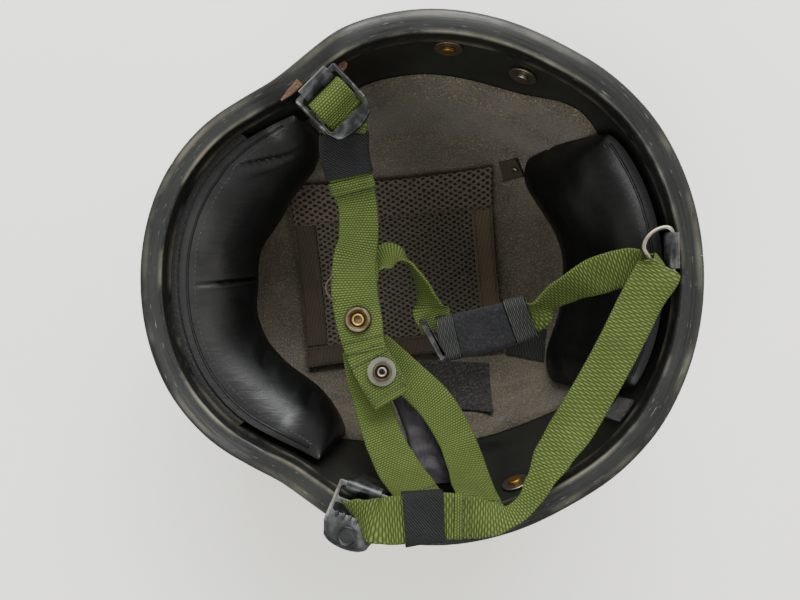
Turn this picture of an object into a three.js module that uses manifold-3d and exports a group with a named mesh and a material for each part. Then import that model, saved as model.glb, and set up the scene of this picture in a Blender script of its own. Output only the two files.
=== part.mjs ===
// A ballistic helmet that stands on its crown, with its opening up and its straps lying in it.
// Millimetres and degrees. The helmet is drawn in its own frame and turned over at the end:
// x runs from the brow to the nape, y from the ear rim to the crown, z from the right ear to the left.
// A turn goes round the opening from the brow, 90 at the left ear, 180 at the nape, -90 at the right ear.

import * as THREE from "three";
import { mergeVertices } from "three/addons/utils/BufferGeometryUtils.js";
import Module from "manifold-3d";

const wasm = await Module();
wasm.setup();

// Shell
const crownDepth = 178;
const shellWall = 8;
const domeHeight = 108;
const domeFront = 133;
const domeBack = 129;
const domeSide = 108;
const domeRound = 2.3;
const planRound = 2.15;
const browRimDepth = 42;
const napeRimDepth = 12.3;
const rimRiseFrom = 44;
const rimRiseTo = 74;
const rimFallFrom = 100;
const flareStartEar = 74;
const flareStartEnds = 84;
const earWidth = 60;
const turnSteps = 48;
const flatSpot = 22;
const crownShares = [0.03, 0.12, 0.24, 0.36, 0.48, 0.6, 0.72, 0.85, 1];

// How far the edge trim reaches from the helmet's axis, all round
const trimReach = [
  { turn: 0, reach: 147 },
  { turn: 20, reach: 145.5 },
  { turn: 34, reach: 140.5 },
  { turn: 46, reach: 133 },
  { turn: 56, reach: 125 },
  { turn: 66, reach: 122 },
  { turn: 78, reach: 124.5 },
  { turn: 92, reach: 126.5 },
  { turn: 108, reach: 127.5 },
  { turn: 122, reach: 129 },
  { turn: 136, reach: 133 },
  { turn: 150, reach: 136 },
  { turn: 180, reach: 137.5 },
];

// Edge trim, a rubber channel pressed over the rim in two lengths
const gap = 0.3;
const trimWall = 1.7;
const trimLeg = 11;
const trimLip = 2.2;
const trimButt = 0.4;
const innerGap = 0.5;
const browSeamTurn = 26.25;
const napeSeamTurn = 176.25;

// Liner and pads
const linerWall = 4;
const crownStep = 3;
const crownStepDepth = 112;
const linerShares = [0.03, 0.12, 0.24, 0.36, 0.48, 0.6, 0.72, 0.85];
const linerGrip = shellWall + 0.5;
const padGrip = linerGrip + linerWall + 0.9;
const browPad = { from: -60, to: 54, thick: 26, edge: 8, near: 15, far: 101, spread: 0.06, ends: 3.2, steps: 18 };
const napePad = { from: 143, to: 208, thick: 24, edge: 8, near: 15, far: 119, spread: 0.3, ends: 7, steps: 14 };
const crownPad = { x: -12, z: 8, wide: 126, high: 113, lean: 4.6, thick: 8, lift: 1.6, slack: 13 };
const bindingWide = 12;
const bindingThick = 1.2;

// Straps
const webWide = 22;
const webThick = 1.6;
const keeperThick = 1.2;

// Steel and brass
const tubeRadius = 3.6;
const tubeWall = 1;
const clipWide = 17;
const clipPlateEnd = 40;
const ringWire = 1.2;

const rad = THREE.MathUtils.degToRad;
const vec = (x, y, z) => new THREE.Vector3(x, y, z);

const helmet = new THREE.Group();

function finish(color, roughness, metalness = 0) {
  return new THREE.MeshStandardMaterial({ color, roughness, metalness });
}

const paint = finish(0x1b1c1d, 0.75);
const rubber = finish(0x202223, 0.45);
const felt = finish(0x453e38, 0.95);
const leather = finish(0x121315, 0.35);
const meshCloth = finish(0x2c2826, 0.9);
const blackCloth = finish(0x1d1d1f, 0.9);
const hookTape = finish(0x2a2624, 0.95);
const velour = finish(0x24242a, 0.95);
const webbing = finish(0x5f8038, 0.85);
const elastic = finish(0x25282c, 0.8);
const vinyl = finish(0x39353c, 0.4);
const blackSteel = finish(0x3a3b3c, 0.4, 0.8);
const brightSteel = finish(0xa39c8e, 0.3, 0.9);
const agedBrass = finish(0x7d6a45, 0.45, 0.8);
const tanLeather = finish(0x9a7a56, 0.8);

function add(name, geometry, material) {
  const mesh = new THREE.Mesh(geometry, material);
  mesh.name = name;
  helmet.add(mesh);
  return mesh;
}

function smooth(t) {
  const s = THREE.MathUtils.clamp(t, 0, 1);
  return s * s * (3 - 2 * s);
}

// A smooth curve through the rows of a table, level at both ends
function alongTable(rows, key, at, value) {
  const last = rows.length - 1;
  let i = 0;
  while (i < last - 1 && value > rows[i + 1][key]) i += 1;
  const slope = (k) => {
    if (k === 0 || k === last) return 0;
    return (rows[k + 1][at] - rows[k - 1][at]) / (rows[k + 1][key] - rows[k - 1][key]);
  };
  const span = rows[i + 1][key] - rows[i][key];
  const t = (value - rows[i][key]) / span;
  const start = rows[i][at] * (2 * t ** 3 - 3 * t ** 2 + 1) + span * slope(i) * (t ** 3 - 2 * t ** 2 + t);
  const end = rows[i + 1][at] * (3 * t ** 2 - 2 * t ** 3) + span * slope(i + 1) * (t ** 3 - t ** 2);
  return start + end;
}

// The turn as seen from either side, from 0 at the brow to 180 at the nape
function sideTurn(turn) {
  const round = ((turn % 360) + 360) % 360;
  return round > 180 ? 360 - round : round;
}

// The shell's edge: its reach from the axis, and how far it lies behind the ear rim
function edgeReach(turn) {
  return alongTable(trimReach, "turn", "reach", sideTurn(turn)) - trimWall - gap;
}

function edgeDepth(turn) {
  const side = sideTurn(turn);
  const brow = browRimDepth * (1 - smooth((side - rimRiseFrom) / (rimRiseTo - rimRiseFrom)));
  const nape = napeRimDepth * smooth((side - rimFallFrom) / (180 - rimFallFrom));
  return brow + nape;
}

function domeReach(turn) {
  const along = Math.cos(rad(turn));
  const across = Math.abs(Math.sin(rad(turn)));
  const length = along > 0 ? domeFront : domeBack;
  return ((Math.abs(along) / length) ** planRound + (across / domeSide) ** planRound) ** (-1 / planRound);
}

// The reach of the shell's wall at a depth, or of a skin that lies inset mm inside it
function wallReach(turn, depth, inset) {
  const down = crownDepth - depth;
  const open = THREE.MathUtils.clamp(1 - (down - inset) / (domeHeight - inset), 0, 1);
  const dome = (domeReach(turn) - inset) * (1 - open ** domeRound) ** (1 / domeRound);
  const ear = 1 - smooth(Math.abs(sideTurn(turn) - 92) / earWidth);
  const start = THREE.MathUtils.lerp(flareStartEnds, flareStartEar, ear);
  const flare = smooth((down - start) / (crownDepth - edgeDepth(turn) - start));
  return dome + (edgeReach(turn) - domeReach(turn)) * flare;
}

function polar(turn, reach, depth) {
  return vec(-reach * Math.cos(rad(turn)), depth, reach * Math.sin(rad(turn)));
}

function onWall(turn, depth, inset) {
  return polar(turn, wallReach(turn, depth, inset), depth);
}

// Depth of a skin inset mm inside the crown, over a point of the plan
function crownSkin(x, z, inset) {
  const turn = THREE.MathUtils.radToDeg(Math.atan2(z, -x));
  const share = Math.min(Math.hypot(x, z) / (domeReach(turn) - inset), 0.995);
  const down = inset + (domeHeight - inset) * (1 - (1 - share ** domeRound) ** (1 / domeRound));
  return crownDepth - down;
}

function solidFrom(points, faces) {
  const geometry = new THREE.BufferGeometry();
  let volume = 0;
  for (const [a, b, c] of faces) {
    volume += points[a].dot(vec(0, 0, 0).crossVectors(points[b], points[c]));
  }
  const index = volume < 0 ? faces.map(([a, b, c]) => [a, c, b]) : faces;
  geometry.setAttribute("position", new THREE.Float32BufferAttribute(points.flatMap((p) => p.toArray()), 3));
  geometry.setIndex(index.flat());
  return geometry;
}

// Joins rings of points into one skin. The ends close in a point, in a face or on each other.
function skin(rings, { closed = false, start = null, end = null, flat = null } = {}) {
  const points = rings.flat();
  const size = rings[0].length;
  const faces = [];
  const bridge = (i, k) => {
    for (let j = 0; j < size; j += 1) {
      const next = (j + 1) % size;
      faces.push([i * size + j, i * size + next, k * size + next]);
      faces.push([i * size + j, k * size + next, k * size + j]);
    }
  };
  for (let i = 0; i + 1 < rings.length; i += 1) bridge(i, i + 1);
  if (closed) {
    bridge(rings.length - 1, 0);
    return solidFrom(points, faces);
  }
  const close = (ring, at, tip, turned) => {
    if (tip) {
      points.push(tip);
      for (let j = 0; j < size; j += 1) {
        const pair = [at + j, at + ((j + 1) % size)];
        faces.push(turned ? [points.length - 1, pair[1], pair[0]] : [points.length - 1, pair[0], pair[1]]);
      }
      return;
    }
    const outline = ring.map(flat ?? ((p, j) => new THREE.Vector2(j, 0)));
    for (const [a, b, c] of THREE.ShapeUtils.triangulateShape(outline, [])) {
      faces.push(turned ? [at + a, at + c, at + b] : [at + a, at + b, at + c]);
    }
  };
  const last = rings.length - 1;
  // triangulateShape turns with the outline, so its sense is set by the outline's own
  const outline = flat ? rings[0].map(flat) : null;
  const handed = outline ? THREE.ShapeUtils.area(outline) > 0 : true;
  close(rings[0], 0, start, start ? true : handed);
  close(rings[last], last * size, end, end ? false : !handed);
  return solidFrom(points, faces);
}

const turns = Array.from({ length: turnSteps }, (unused, i) => ((i + 0.5) * 360) / turnSteps);

// Depths from the crown to the rim, the same shares of the way on every skin
function rowDepth(turn, share, inset) {
  const reachable = crownDepth - edgeDepth(turn) - 2 * trimLeg - inset;
  const eased = 0.5 * (1 - Math.cos((share * Math.PI) / 2)) + 0.5 * share;
  return crownDepth - inset - reachable * eased;
}

function wallRing(inset, depthOf) {
  return turns.map((turn) => onWall(turn, depthOf(turn), inset));
}

// The crown has a small flat spot, on which the helmet stands
function crownRing(inset) {
  return turns.map((turn) => polar(turn, flatSpot, crownDepth - inset));
}

function shellSolid() {
  const rimSteps = [trimLeg, trimLeg / 2, 0];
  const side = (inset) => {
    const rings = [crownRing(inset)];
    for (const share of crownShares) rings.push(wallRing(inset, (turn) => rowDepth(turn, share, inset)));
    for (const step of rimSteps) rings.push(wallRing(inset, (turn) => edgeDepth(turn) + step));
    return rings;
  };
  const rings = [...side(0), ...side(shellWall).reverse()];
  return skin(rings, { start: vec(0, crownDepth, 0), end: vec(0, crownDepth - shellWall, 0) });
}

// The felt liner, thicker over the crown, where its step shows as a ridge
function linerInset(depth) {
  return linerGrip + linerWall + crownStep * smooth((depth - crownStepDepth + 6) / 8);
}

function linerSolid() {
  const outer = [crownRing(linerGrip)];
  const inner = [crownRing(linerGrip + linerWall + crownStep)];
  for (const share of linerShares) {
    outer.push(wallRing(linerGrip, (turn) => rowDepth(turn, share, linerGrip)));
    inner.push(turns.map((turn) => {
      const depth = rowDepth(turn, share, linerGrip + linerWall + crownStep);
      return onWall(turn, depth, linerInset(depth));
    }));
  }
  const tips = { start: vec(0, crownDepth - linerGrip, 0) };
  tips.end = vec(0, crownDepth - linerGrip - linerWall - crownStep, 0);
  return skin([...outer, ...inner.reverse()].map((ring) => ring.reverse()), tips);
}

// The channel's section at a turn: down the outside, round the lip, up the inside and back in the groove
function trimSection(turn) {
  const edge = edgeDepth(turn);
  const out = (step, more) => polar(turn, wallReach(turn, edge + step, 0) + more, edge + step);
  const inn = (step, more) => polar(turn, wallReach(turn, edge + step, shellWall) - more, edge + step);
  const outFace = edgeReach(turn) + gap + trimWall;
  const inFace = edgeReach(turn) - shellWall - gap - trimWall;
  const middle = (outFace + inFace) / 2;
  const half = (outFace - inFace) / 2;
  const lip = [0.92, 0.6, 0, -0.6, -0.92].map((side) => {
    const rise = Math.sqrt(1 - side * side);
    return polar(turn, middle + half * side, edge - gap - trimLip * rise);
  });
  return [
    out(trimLeg, gap), out(trimLeg, gap + trimWall * 0.5), out(trimLeg / 2, gap + trimWall), out(0, gap + trimWall),
    ...lip,
    inn(0, gap + trimWall), inn(trimLeg / 2, gap + trimWall), inn(trimLeg, trimWall), inn(trimLeg, innerGap),
    inn(trimLeg / 2, innerGap), polar(turn, edgeReach(turn) - shellWall - gap, edge - gap),
    polar(turn, edgeReach(turn) + gap, edge - gap), out(trimLeg / 2, gap),
  ];
}

// Between two stations the trim follows the flat facet of the shell
function trimSectionAt(turn) {
  const step = 360 / turnSteps;
  const before = (Math.floor(turn / step - 0.5) + 0.5) * step;
  const start = trimSection(before);
  const end = trimSection(before + step);
  return start.map((point, i) => point.clone().lerp(end[i], (turn - before) / step));
}

function trimLength(from, to) {
  const ease = THREE.MathUtils.radToDeg(trimButt / 2 / trimReach[0].reach);
  const step = 360 / turnSteps;
  const stations = [from + ease];
  for (let turn = (Math.floor(from / step - 0.5) + 1.5) * step; turn < to - 1; turn += step) {
    if (turn > from + 1) stations.push(turn);
  }
  stations.push(to - ease);
  const flat = (p) => new THREE.Vector2(Math.hypot(p.x, p.z), p.y);
  return skin(stations.reverse().map(trimSectionAt), { flat });
}

// A cushion against the wall, crowned between its edges, with its creases pressed in
function wallCushion({ from, to, thick, edge, near, far, spread, ends: square, steps }, creases) {
  const backRows = [0, 0.25, 0.5, 0.75, 1];
  const frontRows = [1, 0.94, 0.82, 0.64, 0.45, 0.27, 0.12, 0.03, 0];
  const rings = [];
  for (let i = 0; i <= steps; i += 1) {
    const u = i / steps;
    const turn = THREE.MathUtils.lerp(from, to, u);
    const turnAt = (v) => turn + (turn - (from + to) / 2) * spread * v;
    const ends = Math.sqrt(Math.max(0, 1 - Math.abs(2 * u - 1) ** square));
    const nearDepth = edgeDepth(turn) + near + 6 * (1 - ends);
    const farDepth = far - 16 * (1 - ends);
    const at = (v) => THREE.MathUtils.lerp(nearDepth, farDepth, v);
    const back = (v) => padGrip + crownStep * smooth((at(v) - 84) / 14);
    let press = 1;
    for (const crease of creases) {
      press -= crease.deep * Math.exp(-(((turn - crease.turn) / crease.wide) ** 2));
    }
    const height = (v) => {
      const across = Math.sqrt(Math.max(0, 1 - Math.abs(2 * v - 1) ** 2.4));
      return edge * (0.45 + 0.55 * ends) + (thick - edge) * across * ends * press;
    };
    rings.push([
      ...backRows.map((v) => onWall(turnAt(v), at(v), back(v))),
      ...frontRows.map((v) => onWall(turnAt(v), at(v), back(v) + height(v))),
    ]);
  }
  const flat = (p) => new THREE.Vector2(Math.hypot(p.x, p.z), p.y);
  return skin(rings, { flat });
}

// A strip that lies along the wall through rows of turn and depth
function wallStrip(rows, wide, thick, insetOf) {
  const rings = [];
  for (let i = 0; i < rows.length; i += 1) {
    const at = (shift) => {
      const row = rows[i];
      const next = rows[Math.min(i + 1, rows.length - 1)];
      const before = rows[Math.max(i - 1, 0)];
      const reach = wallReach(row.turn, row.depth, 0);
      const along = new THREE.Vector2(rad(next.turn - before.turn) * reach, next.depth - before.depth).normalize();
      const turn = row.turn - THREE.MathUtils.radToDeg((along.y * shift) / reach);
      return { turn, depth: row.depth + along.x * shift };
    };
    const shifts = [-wide / 2, 0, wide / 2].map(at);
    const back = shifts.map(({ turn, depth }) => onWall(turn, depth, insetOf(depth)));
    const front = shifts.map(({ turn, depth }) => onWall(turn, depth, insetOf(depth) + thick));
    rings.push([...back, ...front.reverse()]);
  }
  const flat = (p, j) => new THREE.Vector2(j < 3 ? j : 5 - j, j < 3 ? 0 : 1);
  return skin(rings, { flat });
}

// A slab that follows the crown's skin over a leaning rectangle of the plan.
// A part of it is given in steps of its grid, so that layers keep an even gap.
function crownSlab({ x, z, wide, high, lean, thick, lift, slack = 0 }, part = {}) {
  const stepsX = Math.max(2, Math.round(wide / 12.6));
  const stepsZ = Math.max(2, Math.round(high / 12.6));
  const { fromX = 0, toX = stepsX, fromZ = 0, toZ = stepsZ, shrink = 0 } = part;
  const sit = (i, j, out) => {
    const a = wide * (i / stepsX - 0.5);
    const b = high * (j / stepsZ - 0.5);
    const px = x + a * Math.cos(rad(lean)) - b * Math.sin(rad(lean));
    const pz = z + a * Math.sin(rad(lean)) + b * Math.cos(rad(lean));
    const sag = slack * (1 - (2 * a / wide) ** 2) * (1 - (2 * b / high) ** 2);
    const depth = crownSkin(px, pz, linerInset(crownDepth)) - lift - sag - out;
    return vec(px, depth, pz);
  };
  const marks = (from, to) => {
    const list = [from + shrink];
    for (let i = Math.floor(from) + 1; i < to; i += 1) list.push(i);
    return [...list, to - shrink];
  };
  const rings = marks(fromX, toX).map((i) => {
    const row = part.over ? marks(fromZ, toZ).reverse() : marks(fromZ, toZ);
    return [...row.map((j) => sit(i, j, 0)), ...row.reverse().map((j) => sit(i, j, thick))];
  });
  const flat = (p) => new THREE.Vector2(p.z, p.y);
  return skin(rings, { flat });
}

// Rows of a strap are its section's middle, the lean of its width in the picture plane,
// its turn out of that plane and its width. The strap runs smoothly through them.
function strapStations(rows, steps = 3) {
  const path = new THREE.CatmullRomCurve3(rows.map((row) => vec(row.x, row.y, row.z)), false, "centripetal");
  const stations = [];
  for (let i = 0; i + 1 < rows.length; i += 1) {
    for (let k = 0; k < steps || (k === steps && i + 2 === rows.length); k += 1) {
      const t = k / steps;
      const u = (i + t) / (rows.length - 1);
      const mix = (key, spare) => THREE.MathUtils.lerp(rows[i][key] ?? spare, rows[i + 1][key] ?? spare, smooth(t));
      const lean = rad(mix("lean", 0));
      const turn = rad(mix("turn", 0));
      const across = vec(Math.cos(lean) * Math.cos(turn), Math.sin(turn), Math.sin(lean) * Math.cos(turn));
      const ahead = path.getTangent(u);
      across.addScaledVector(ahead, -across.dot(ahead)).normalize();
      const face = vec(0, 0, 0).crossVectors(ahead, across).normalize();
      stations.push({ at: path.getPoint(u), across, face, wide: mix("wide", webWide) });
    }
  }
  return stations;
}

function sectionRing({ at, across, face, wide }, moreWide, thick) {
  const corner = (a, f) => at.clone().addScaledVector(across, (a * (wide + moreWide)) / 2).addScaledVector(face, (f * thick) / 2);
  return [corner(-1, -1), corner(1, -1), corner(1, 1), corner(-1, 1)];
}

const squareFlat = (p, j) => new THREE.Vector2([0, 1, 1, 0][j], [0, 0, 1, 1][j]);

function strap(rows, thick = webThick, steps = 3) {
  const rings = strapStations(rows, steps).map((station) => sectionRing(station, 0, thick));
  return skin(rings, { flat: squareFlat });
}

// A sleeve round a strap, open at both ends
function sleeve(rows, innerThick, wall, steps = 3, slack = 1) {
  const stations = strapStations(rows, steps);
  const outer = stations.map((station) => sectionRing(station, slack + 2 * wall, innerThick + 2 * wall));
  const inner = stations.map((station) => sectionRing(station, slack, innerThick));
  return skin([...outer, ...inner.reverse()], { closed: true });
}

// A round wire through points
function wire(points, radius, sides, closed = false, steps = 24) {
  const path = new THREE.CatmullRomCurve3(points, closed, "centripetal");
  const frames = path.computeFrenetFrames(steps, closed);
  const rings = [];
  for (let i = 0; i < (closed ? steps : steps + 1); i += 1) {
    const centre = path.getPointAt(i / steps);
    const ring = [];
    for (let j = 0; j < sides; j += 1) {
      const angle = (j / sides) * Math.PI * 2;
      const out = frames.normals[i].clone().multiplyScalar(Math.cos(angle) * radius);
      ring.push(centre.clone().add(out).addScaledVector(frames.binormals[i], Math.sin(angle) * radius));
    }
    rings.push(ring);
  }
  const flat = (p, j) => new THREE.Vector2(Math.cos((j / sides) * Math.PI * 2), Math.sin((j / sides) * Math.PI * 2));
  return skin(rings, { closed, flat });
}

// A turned part: its profile is rows of radius and height along the axis
function turned(profile, sides, centre, axis) {
  const geometry = new THREE.LatheGeometry(profile.map(([r, h]) => new THREE.Vector2(r, h)), sides);
  return placed(geometry, new THREE.Quaternion().setFromUnitVectors(vec(0, 1, 0), axis.clone().normalize()), centre);
}

function placed(geometry, quaternion, position) {
  geometry.deleteAttribute("normal");
  geometry.deleteAttribute("uv");
  geometry.applyMatrix4(new THREE.Matrix4().compose(position, quaternion, vec(1, 1, 1)));
  const merged = mergeVertices(geometry, 1e-4);
  const flatFree = [];
  const index = merged.index.array;
  for (let i = 0; i < index.length; i += 3) {
    const face = [index[i], index[i + 1], index[i + 2]];
    if (new Set(face).size === 3) flatFree.push(...face);
  }
  merged.setIndex(flatFree);
  return merged;
}

function manifoldOf(geometry) {
  const clean = mergeVertices(geometry, 1e-4);
  return new wasm.Manifold(new wasm.Mesh({
    numProp: 3,
    vertProperties: new Float32Array(clean.attributes.position.array),
    triVerts: new Uint32Array(clean.index.array),
  }));
}

function geometryOf(manifold) {
  const mesh = manifold.getMesh();
  const geometry = new THREE.BufferGeometry();
  geometry.setAttribute("position", new THREE.BufferAttribute(new Float32Array(mesh.vertProperties), 3));
  geometry.setIndex(new THREE.BufferAttribute(new Uint32Array(mesh.triVerts), 1));
  return geometry;
}

// The wall's outward direction at a turn and depth
function wallNormal(turn, depth) {
  const up = onWall(turn, depth + 1, 0).sub(onWall(turn, depth - 1, 0));
  const round = onWall(turn + 1, depth, 0).sub(onWall(turn - 1, depth, 0));
  const normal = vec(0, 0, 0).crossVectors(up, round).normalize();
  return normal.dot(polar(turn, 1, 0)) < 0 ? normal.negate() : normal;
}

// Screws through the shell: a low domed head outside, the screw and a washer inside
const screwShank = 2.2;
const screwHole = 2.6;
const screwHead = 6;
const washerRadius = 7.2;
const washerThick = 1;
const holes = [];

function shellScrew(name, turn, depth, { washer = true, seat = 0.6, finishInside = agedBrass } = {}) {
  const normal = wallNormal(turn, depth);
  const outside = onWall(turn, depth, 0);
  const inside = -shellWall - seat;
  const end = inside - (washer ? washerThick + gap : 0);
  const profile = [
    [0, 2.4], [3.4, 2], [screwHead, gap + 0.5], [screwHead, gap], [screwShank, gap],
    [screwShank, end], [3.3, end], [3.3, end - 1.4], [0, end - 1.8],
  ];
  add(name, turned(profile.reverse(), 12, outside, normal), finishInside);
  const hole = [[0, -shellWall - 4], [screwHole, -shellWall - 4], [screwHole, 4], [0, 4]];
  holes.push(turned(hole, 12, outside, normal));
  if (!washer) return;
  const ring = [
    [screwHole, inside - washerThick], [washerRadius, inside - washerThick], [washerRadius, inside],
    [screwHole, inside], [screwHole, inside - washerThick],
  ];
  add(name + "_washer", turned(ring, 16, outside, normal), brightSteel);
}

// A rolled sheet clip: a plate along the wall that ends in a tube, where a bar turns
function rolledClip(name, centre, along, wallSide) {
  const frame = axes(along, vec(0, 1, 0));
  const roll = tubeRadius;
  const bore = tubeRadius - tubeWall;
  const outline = new THREE.Shape();
  const side = wallSide;
  outline.moveTo(side * roll, clipPlateEnd);
  outline.lineTo(side * roll, 0);
  outline.absarc(0, 0, roll, side > 0 ? 0 : Math.PI, side > 0 ? -rad(300) : Math.PI + rad(300), side > 0);
  const endAngle = side > 0 ? -rad(300) : Math.PI + rad(300);
  outline.lineTo(bore * Math.cos(endAngle), bore * Math.sin(endAngle));
  outline.absarc(0, 0, bore, endAngle, side > 0 ? 0 : Math.PI, side < 0);
  outline.lineTo(side * bore, clipPlateEnd);
  outline.closePath();
  const geometry = new THREE.ExtrudeGeometry(outline, { depth: clipWide, bevelEnabled: false, curveSegments: 10 });
  geometry.translate(0, 0, -clipWide / 2);
  const basis = new THREE.Matrix4().makeBasis(frame.third, frame.second, frame.first);
  const turn = new THREE.Quaternion().setFromRotationMatrix(basis);
  add(name, placed(geometry, turn, centre), blackSteel);
}

// Three square axes: the first as given, the second turned square to it
function axes(first, second) {
  const a = first.clone().normalize();
  const b = second.clone().addScaledVector(a, -second.dot(a)).normalize();
  return { first: a, second: b, third: vec(0, 0, 0).crossVectors(b, a).normalize() };
}

// A strap buckle: a frame with a crossbar for the webbing and a round-ended plate below.
// It hangs from the rolled clip by its top bar.
const buckle = { outer: 26, inner: 21.4, top: 1.4, crossbar: 8.2, barHigh: 1.4, plate: 21, end: 28.5, thick: 2.2 };
const buckleWeb = 19.5;

function buckleSolid(name, centre, frame) {
  const half = buckle.outer / 2;
  const open = buckle.inner / 2;
  const outline = new THREE.Shape();
  outline.moveTo(-half, -buckle.top);
  outline.lineTo(half, -buckle.top);
  outline.lineTo(half, buckle.plate - 2);
  outline.lineTo(half - 2, buckle.plate + 3);
  outline.absellipse(0, buckle.plate + 3, half - 2, buckle.end - buckle.plate - 3, 0, Math.PI, false);
  outline.lineTo(-half, buckle.plate - 2);
  outline.closePath();
  const window = (from, to) => {
    const hole = new THREE.Path();
    hole.moveTo(-open, from);
    hole.lineTo(-open, to);
    hole.lineTo(open, to);
    hole.lineTo(open, from);
    hole.closePath();
    outline.holes.push(hole);
  };
  window(buckle.top, buckle.crossbar - buckle.barHigh);
  window(buckle.crossbar + buckle.barHigh, buckle.plate);
  const geometry = new THREE.ExtrudeGeometry(outline, { depth: buckle.thick, bevelEnabled: false, curveSegments: 12 });
  geometry.translate(0, 0, -buckle.thick / 2);
  const basis = new THREE.Matrix4().makeBasis(frame.first, frame.second, frame.third.clone().negate());
  add(name, placed(geometry, new THREE.Quaternion().setFromRotationMatrix(basis), centre), blackSteel);
}

// A point of a buckle's own frame: across it, down from its top bar, and out of its face
function onBuckle(centre, frame, across, down, out) {
  return centre.clone().addScaledVector(frame.first, across).addScaledVector(frame.second, down).addScaledVector(frame.third, out);
}

// Shell, trim and liner
add("liner", linerSolid(), felt);
add("edge_trim_left", trimLength(browSeamTurn, napeSeamTurn), rubber);
add("edge_trim_right", trimLength(napeSeamTurn - 360, browSeamTurn), rubber);

// Pads and patches
const padCreases = [{ turn: 0, deep: 0.2, wide: 4 }, { turn: 35, deep: 0.12, wide: 5 }];
add("brow_pad", wallCushion(browPad, padCreases), leather);
add("nape_pad", wallCushion(napePad, []), leather);

const hookRows = [];
for (let turn = -56.25; turn < 50; turn += 360 / turnSteps) hookRows.push({ turn, depth: edgeDepth(turn) + 17 });
add("brow_hook_strip", wallStrip(hookRows, 8, 2.4, () => shellWall + 0.7), hookTape);

add("crown_pad", crownSlab(crownPad), meshCloth);
const onCrownPad = { ...crownPad, thick: bindingThick, lift: crownPad.lift + crownPad.thick + 0.5 };
const padPart = (fromX, toX, fromZ, toZ, lift = 0) => crownSlab({ ...onCrownPad, lift: onCrownPad.lift + lift }, { fromX, toX, fromZ, toZ, shrink: 0.02, over: true });
add("crown_pad_left_binding", padPart(0, 1, 1, 8), blackCloth);
add("crown_pad_right_binding", padPart(9, 10, 1, 8), blackCloth);
add("crown_pad_top_flap", padPart(0, 10, 8, 9, 1), meshCloth);
add("crown_pad_bottom_binding", padPart(0, 10, 0, 1), blackCloth);

// A patch on the liner, by the middle and size of its plan
const patch = { lean: 0, thick: 1.6, lift: 1.4 };
add("loop_patch", crownSlab({ ...patch, x: 17, z: -66, wide: 55, high: 27, lean: -2 }), hookTape);
add("ribbed_tape", crownSlab({ ...patch, x: 68, z: -40, wide: 22, high: 20, lean: -10 }), elastic);

const tabRows = [{ turn: 128.5, depth: 123 }, { turn: 131, depth: 118 }, { turn: 133, depth: 113 }];
const onLiner = (depth) => padGrip + crownStep * smooth((depth - 84) / 14);
add("snap_tab", wallStrip(tabRows, 17, 1.4, onLiner), blackCloth);
const snapInset = padGrip + crownStep + 1.4 + gap;
const snapProfile = [[0, 0], [2.2, 0], [2.2, 0.7], [1.4, 1.3], [0, 1.3]];
add("tab_snap", turned(snapProfile, 10, onWall(132, 115, snapInset + 0.5), wallNormal(132, 115).negate()), brightSteel);

const rearPatch = [{ turn: -149, depth: 33 }, { turn: -146, depth: 32 }, { turn: -143, depth: 31 }];
add("rear_hook_patch", wallStrip(rearPatch, 17, 1.8, () => shellWall + 0.9), hookTape);

// The left buckle turns in a clip at the left temple. The right one hangs out over the rim.
const leftTube = vec(-46.9, -4, 91.4);
const leftFrame = axes(vec(0.73, -0.05, 0.68), vec(0.66, 0.14, -0.74));
const rightTube = vec(-28, -0.5, -99.6);
const rightFrame = axes(vec(0.93, -0.14, -0.33), vec(-0.26, -0.4, -0.88));
const ringTube = vec(119.5, 4, 11.2);
buckleSolid("left_buckle", leftTube, leftFrame);
buckleSolid("right_buckle", rightTube, rightFrame);
rolledClip("left_clip", leftTube, leftFrame.first, -1);
rolledClip("right_clip", rightTube, rightFrame.first, 1);
rolledClip("ring_clip", ringTube, vec(0, 0, 1), 1);

// The wire ring at the nape: down through its clip, out under the strap's fold and back over the top
const ringPath = [
  vec(119.5, 4, -0.5), vec(119.5, 4, 9), vec(119.5, 4, 20.6), vec(117.6, 4.3, 22.2), vec(113, 4.8, 21.4), vec(108.4, 5, 17.8),
  vec(106.6, 5, 13), vec(110.2, 4.2, 6.2), vec(114.2, 3.9, 0.2), vec(117.2, 4, -3.6),
];
add("nape_ring", wire(ringPath, ringWire, 6, true, 30), brightSteel);

// A web wound over a buckle's crossbar, from its tail behind to where it leaves the frame
function overCrossbar(tube, frame, rows) {
  const across = frame.first;
  const lean = THREE.MathUtils.radToDeg(Math.atan2(across.z, across.x));
  const turn = THREE.MathUtils.radToDeg(Math.asin(across.y));
  return rows.map(({ down, out }) => {
    const { x, y, z } = onBuckle(tube, frame, 0, down, out);
    return { x, y, z, lean, turn, wide: buckleWeb };
  });
}

const leftWound = [
  { down: 14, out: -4.4 },
  { down: 8.4, out: -3.2 },
  { down: 4.9, out: 0 },
  { down: 8.4, out: 3.2 },
  { down: 13, out: 2.2 },
  { down: 17, out: -1.2 },
  { down: 20.4, out: -3.2 },
];
const leftStrap = [
  { x: -35, y: 4.5, z: 70, lean: 28, turn: -4, wide: 20.5 },
  { x: -35.5, y: 10, z: 61, lean: 8, wide: 20.5 },
  { x: -33.5, y: 16, z: 50.5, lean: 0, wide: 20.5 },
  { x: -30.5, y: 21, z: 38, lean: -6, wide: 19.5 },
  { x: -30.5, y: 26, z: 21, lean: -2, wide: 20 },
  { x: -33, y: 29, z: 9.5, lean: 3, wide: 22 },
  { x: -33.5, y: 31, z: -5, lean: -4, wide: 24 },
  { x: -31.5, y: 31.5, z: -20, lean: -2, wide: 24 },
  { x: -28, y: 30.5, z: -36.5, lean: 16, wide: 21 },
  { x: -21.5, y: 29.5, z: -49, lean: 22 },
  { x: -14.5, y: 29, z: -61, lean: 22 },
];
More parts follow.
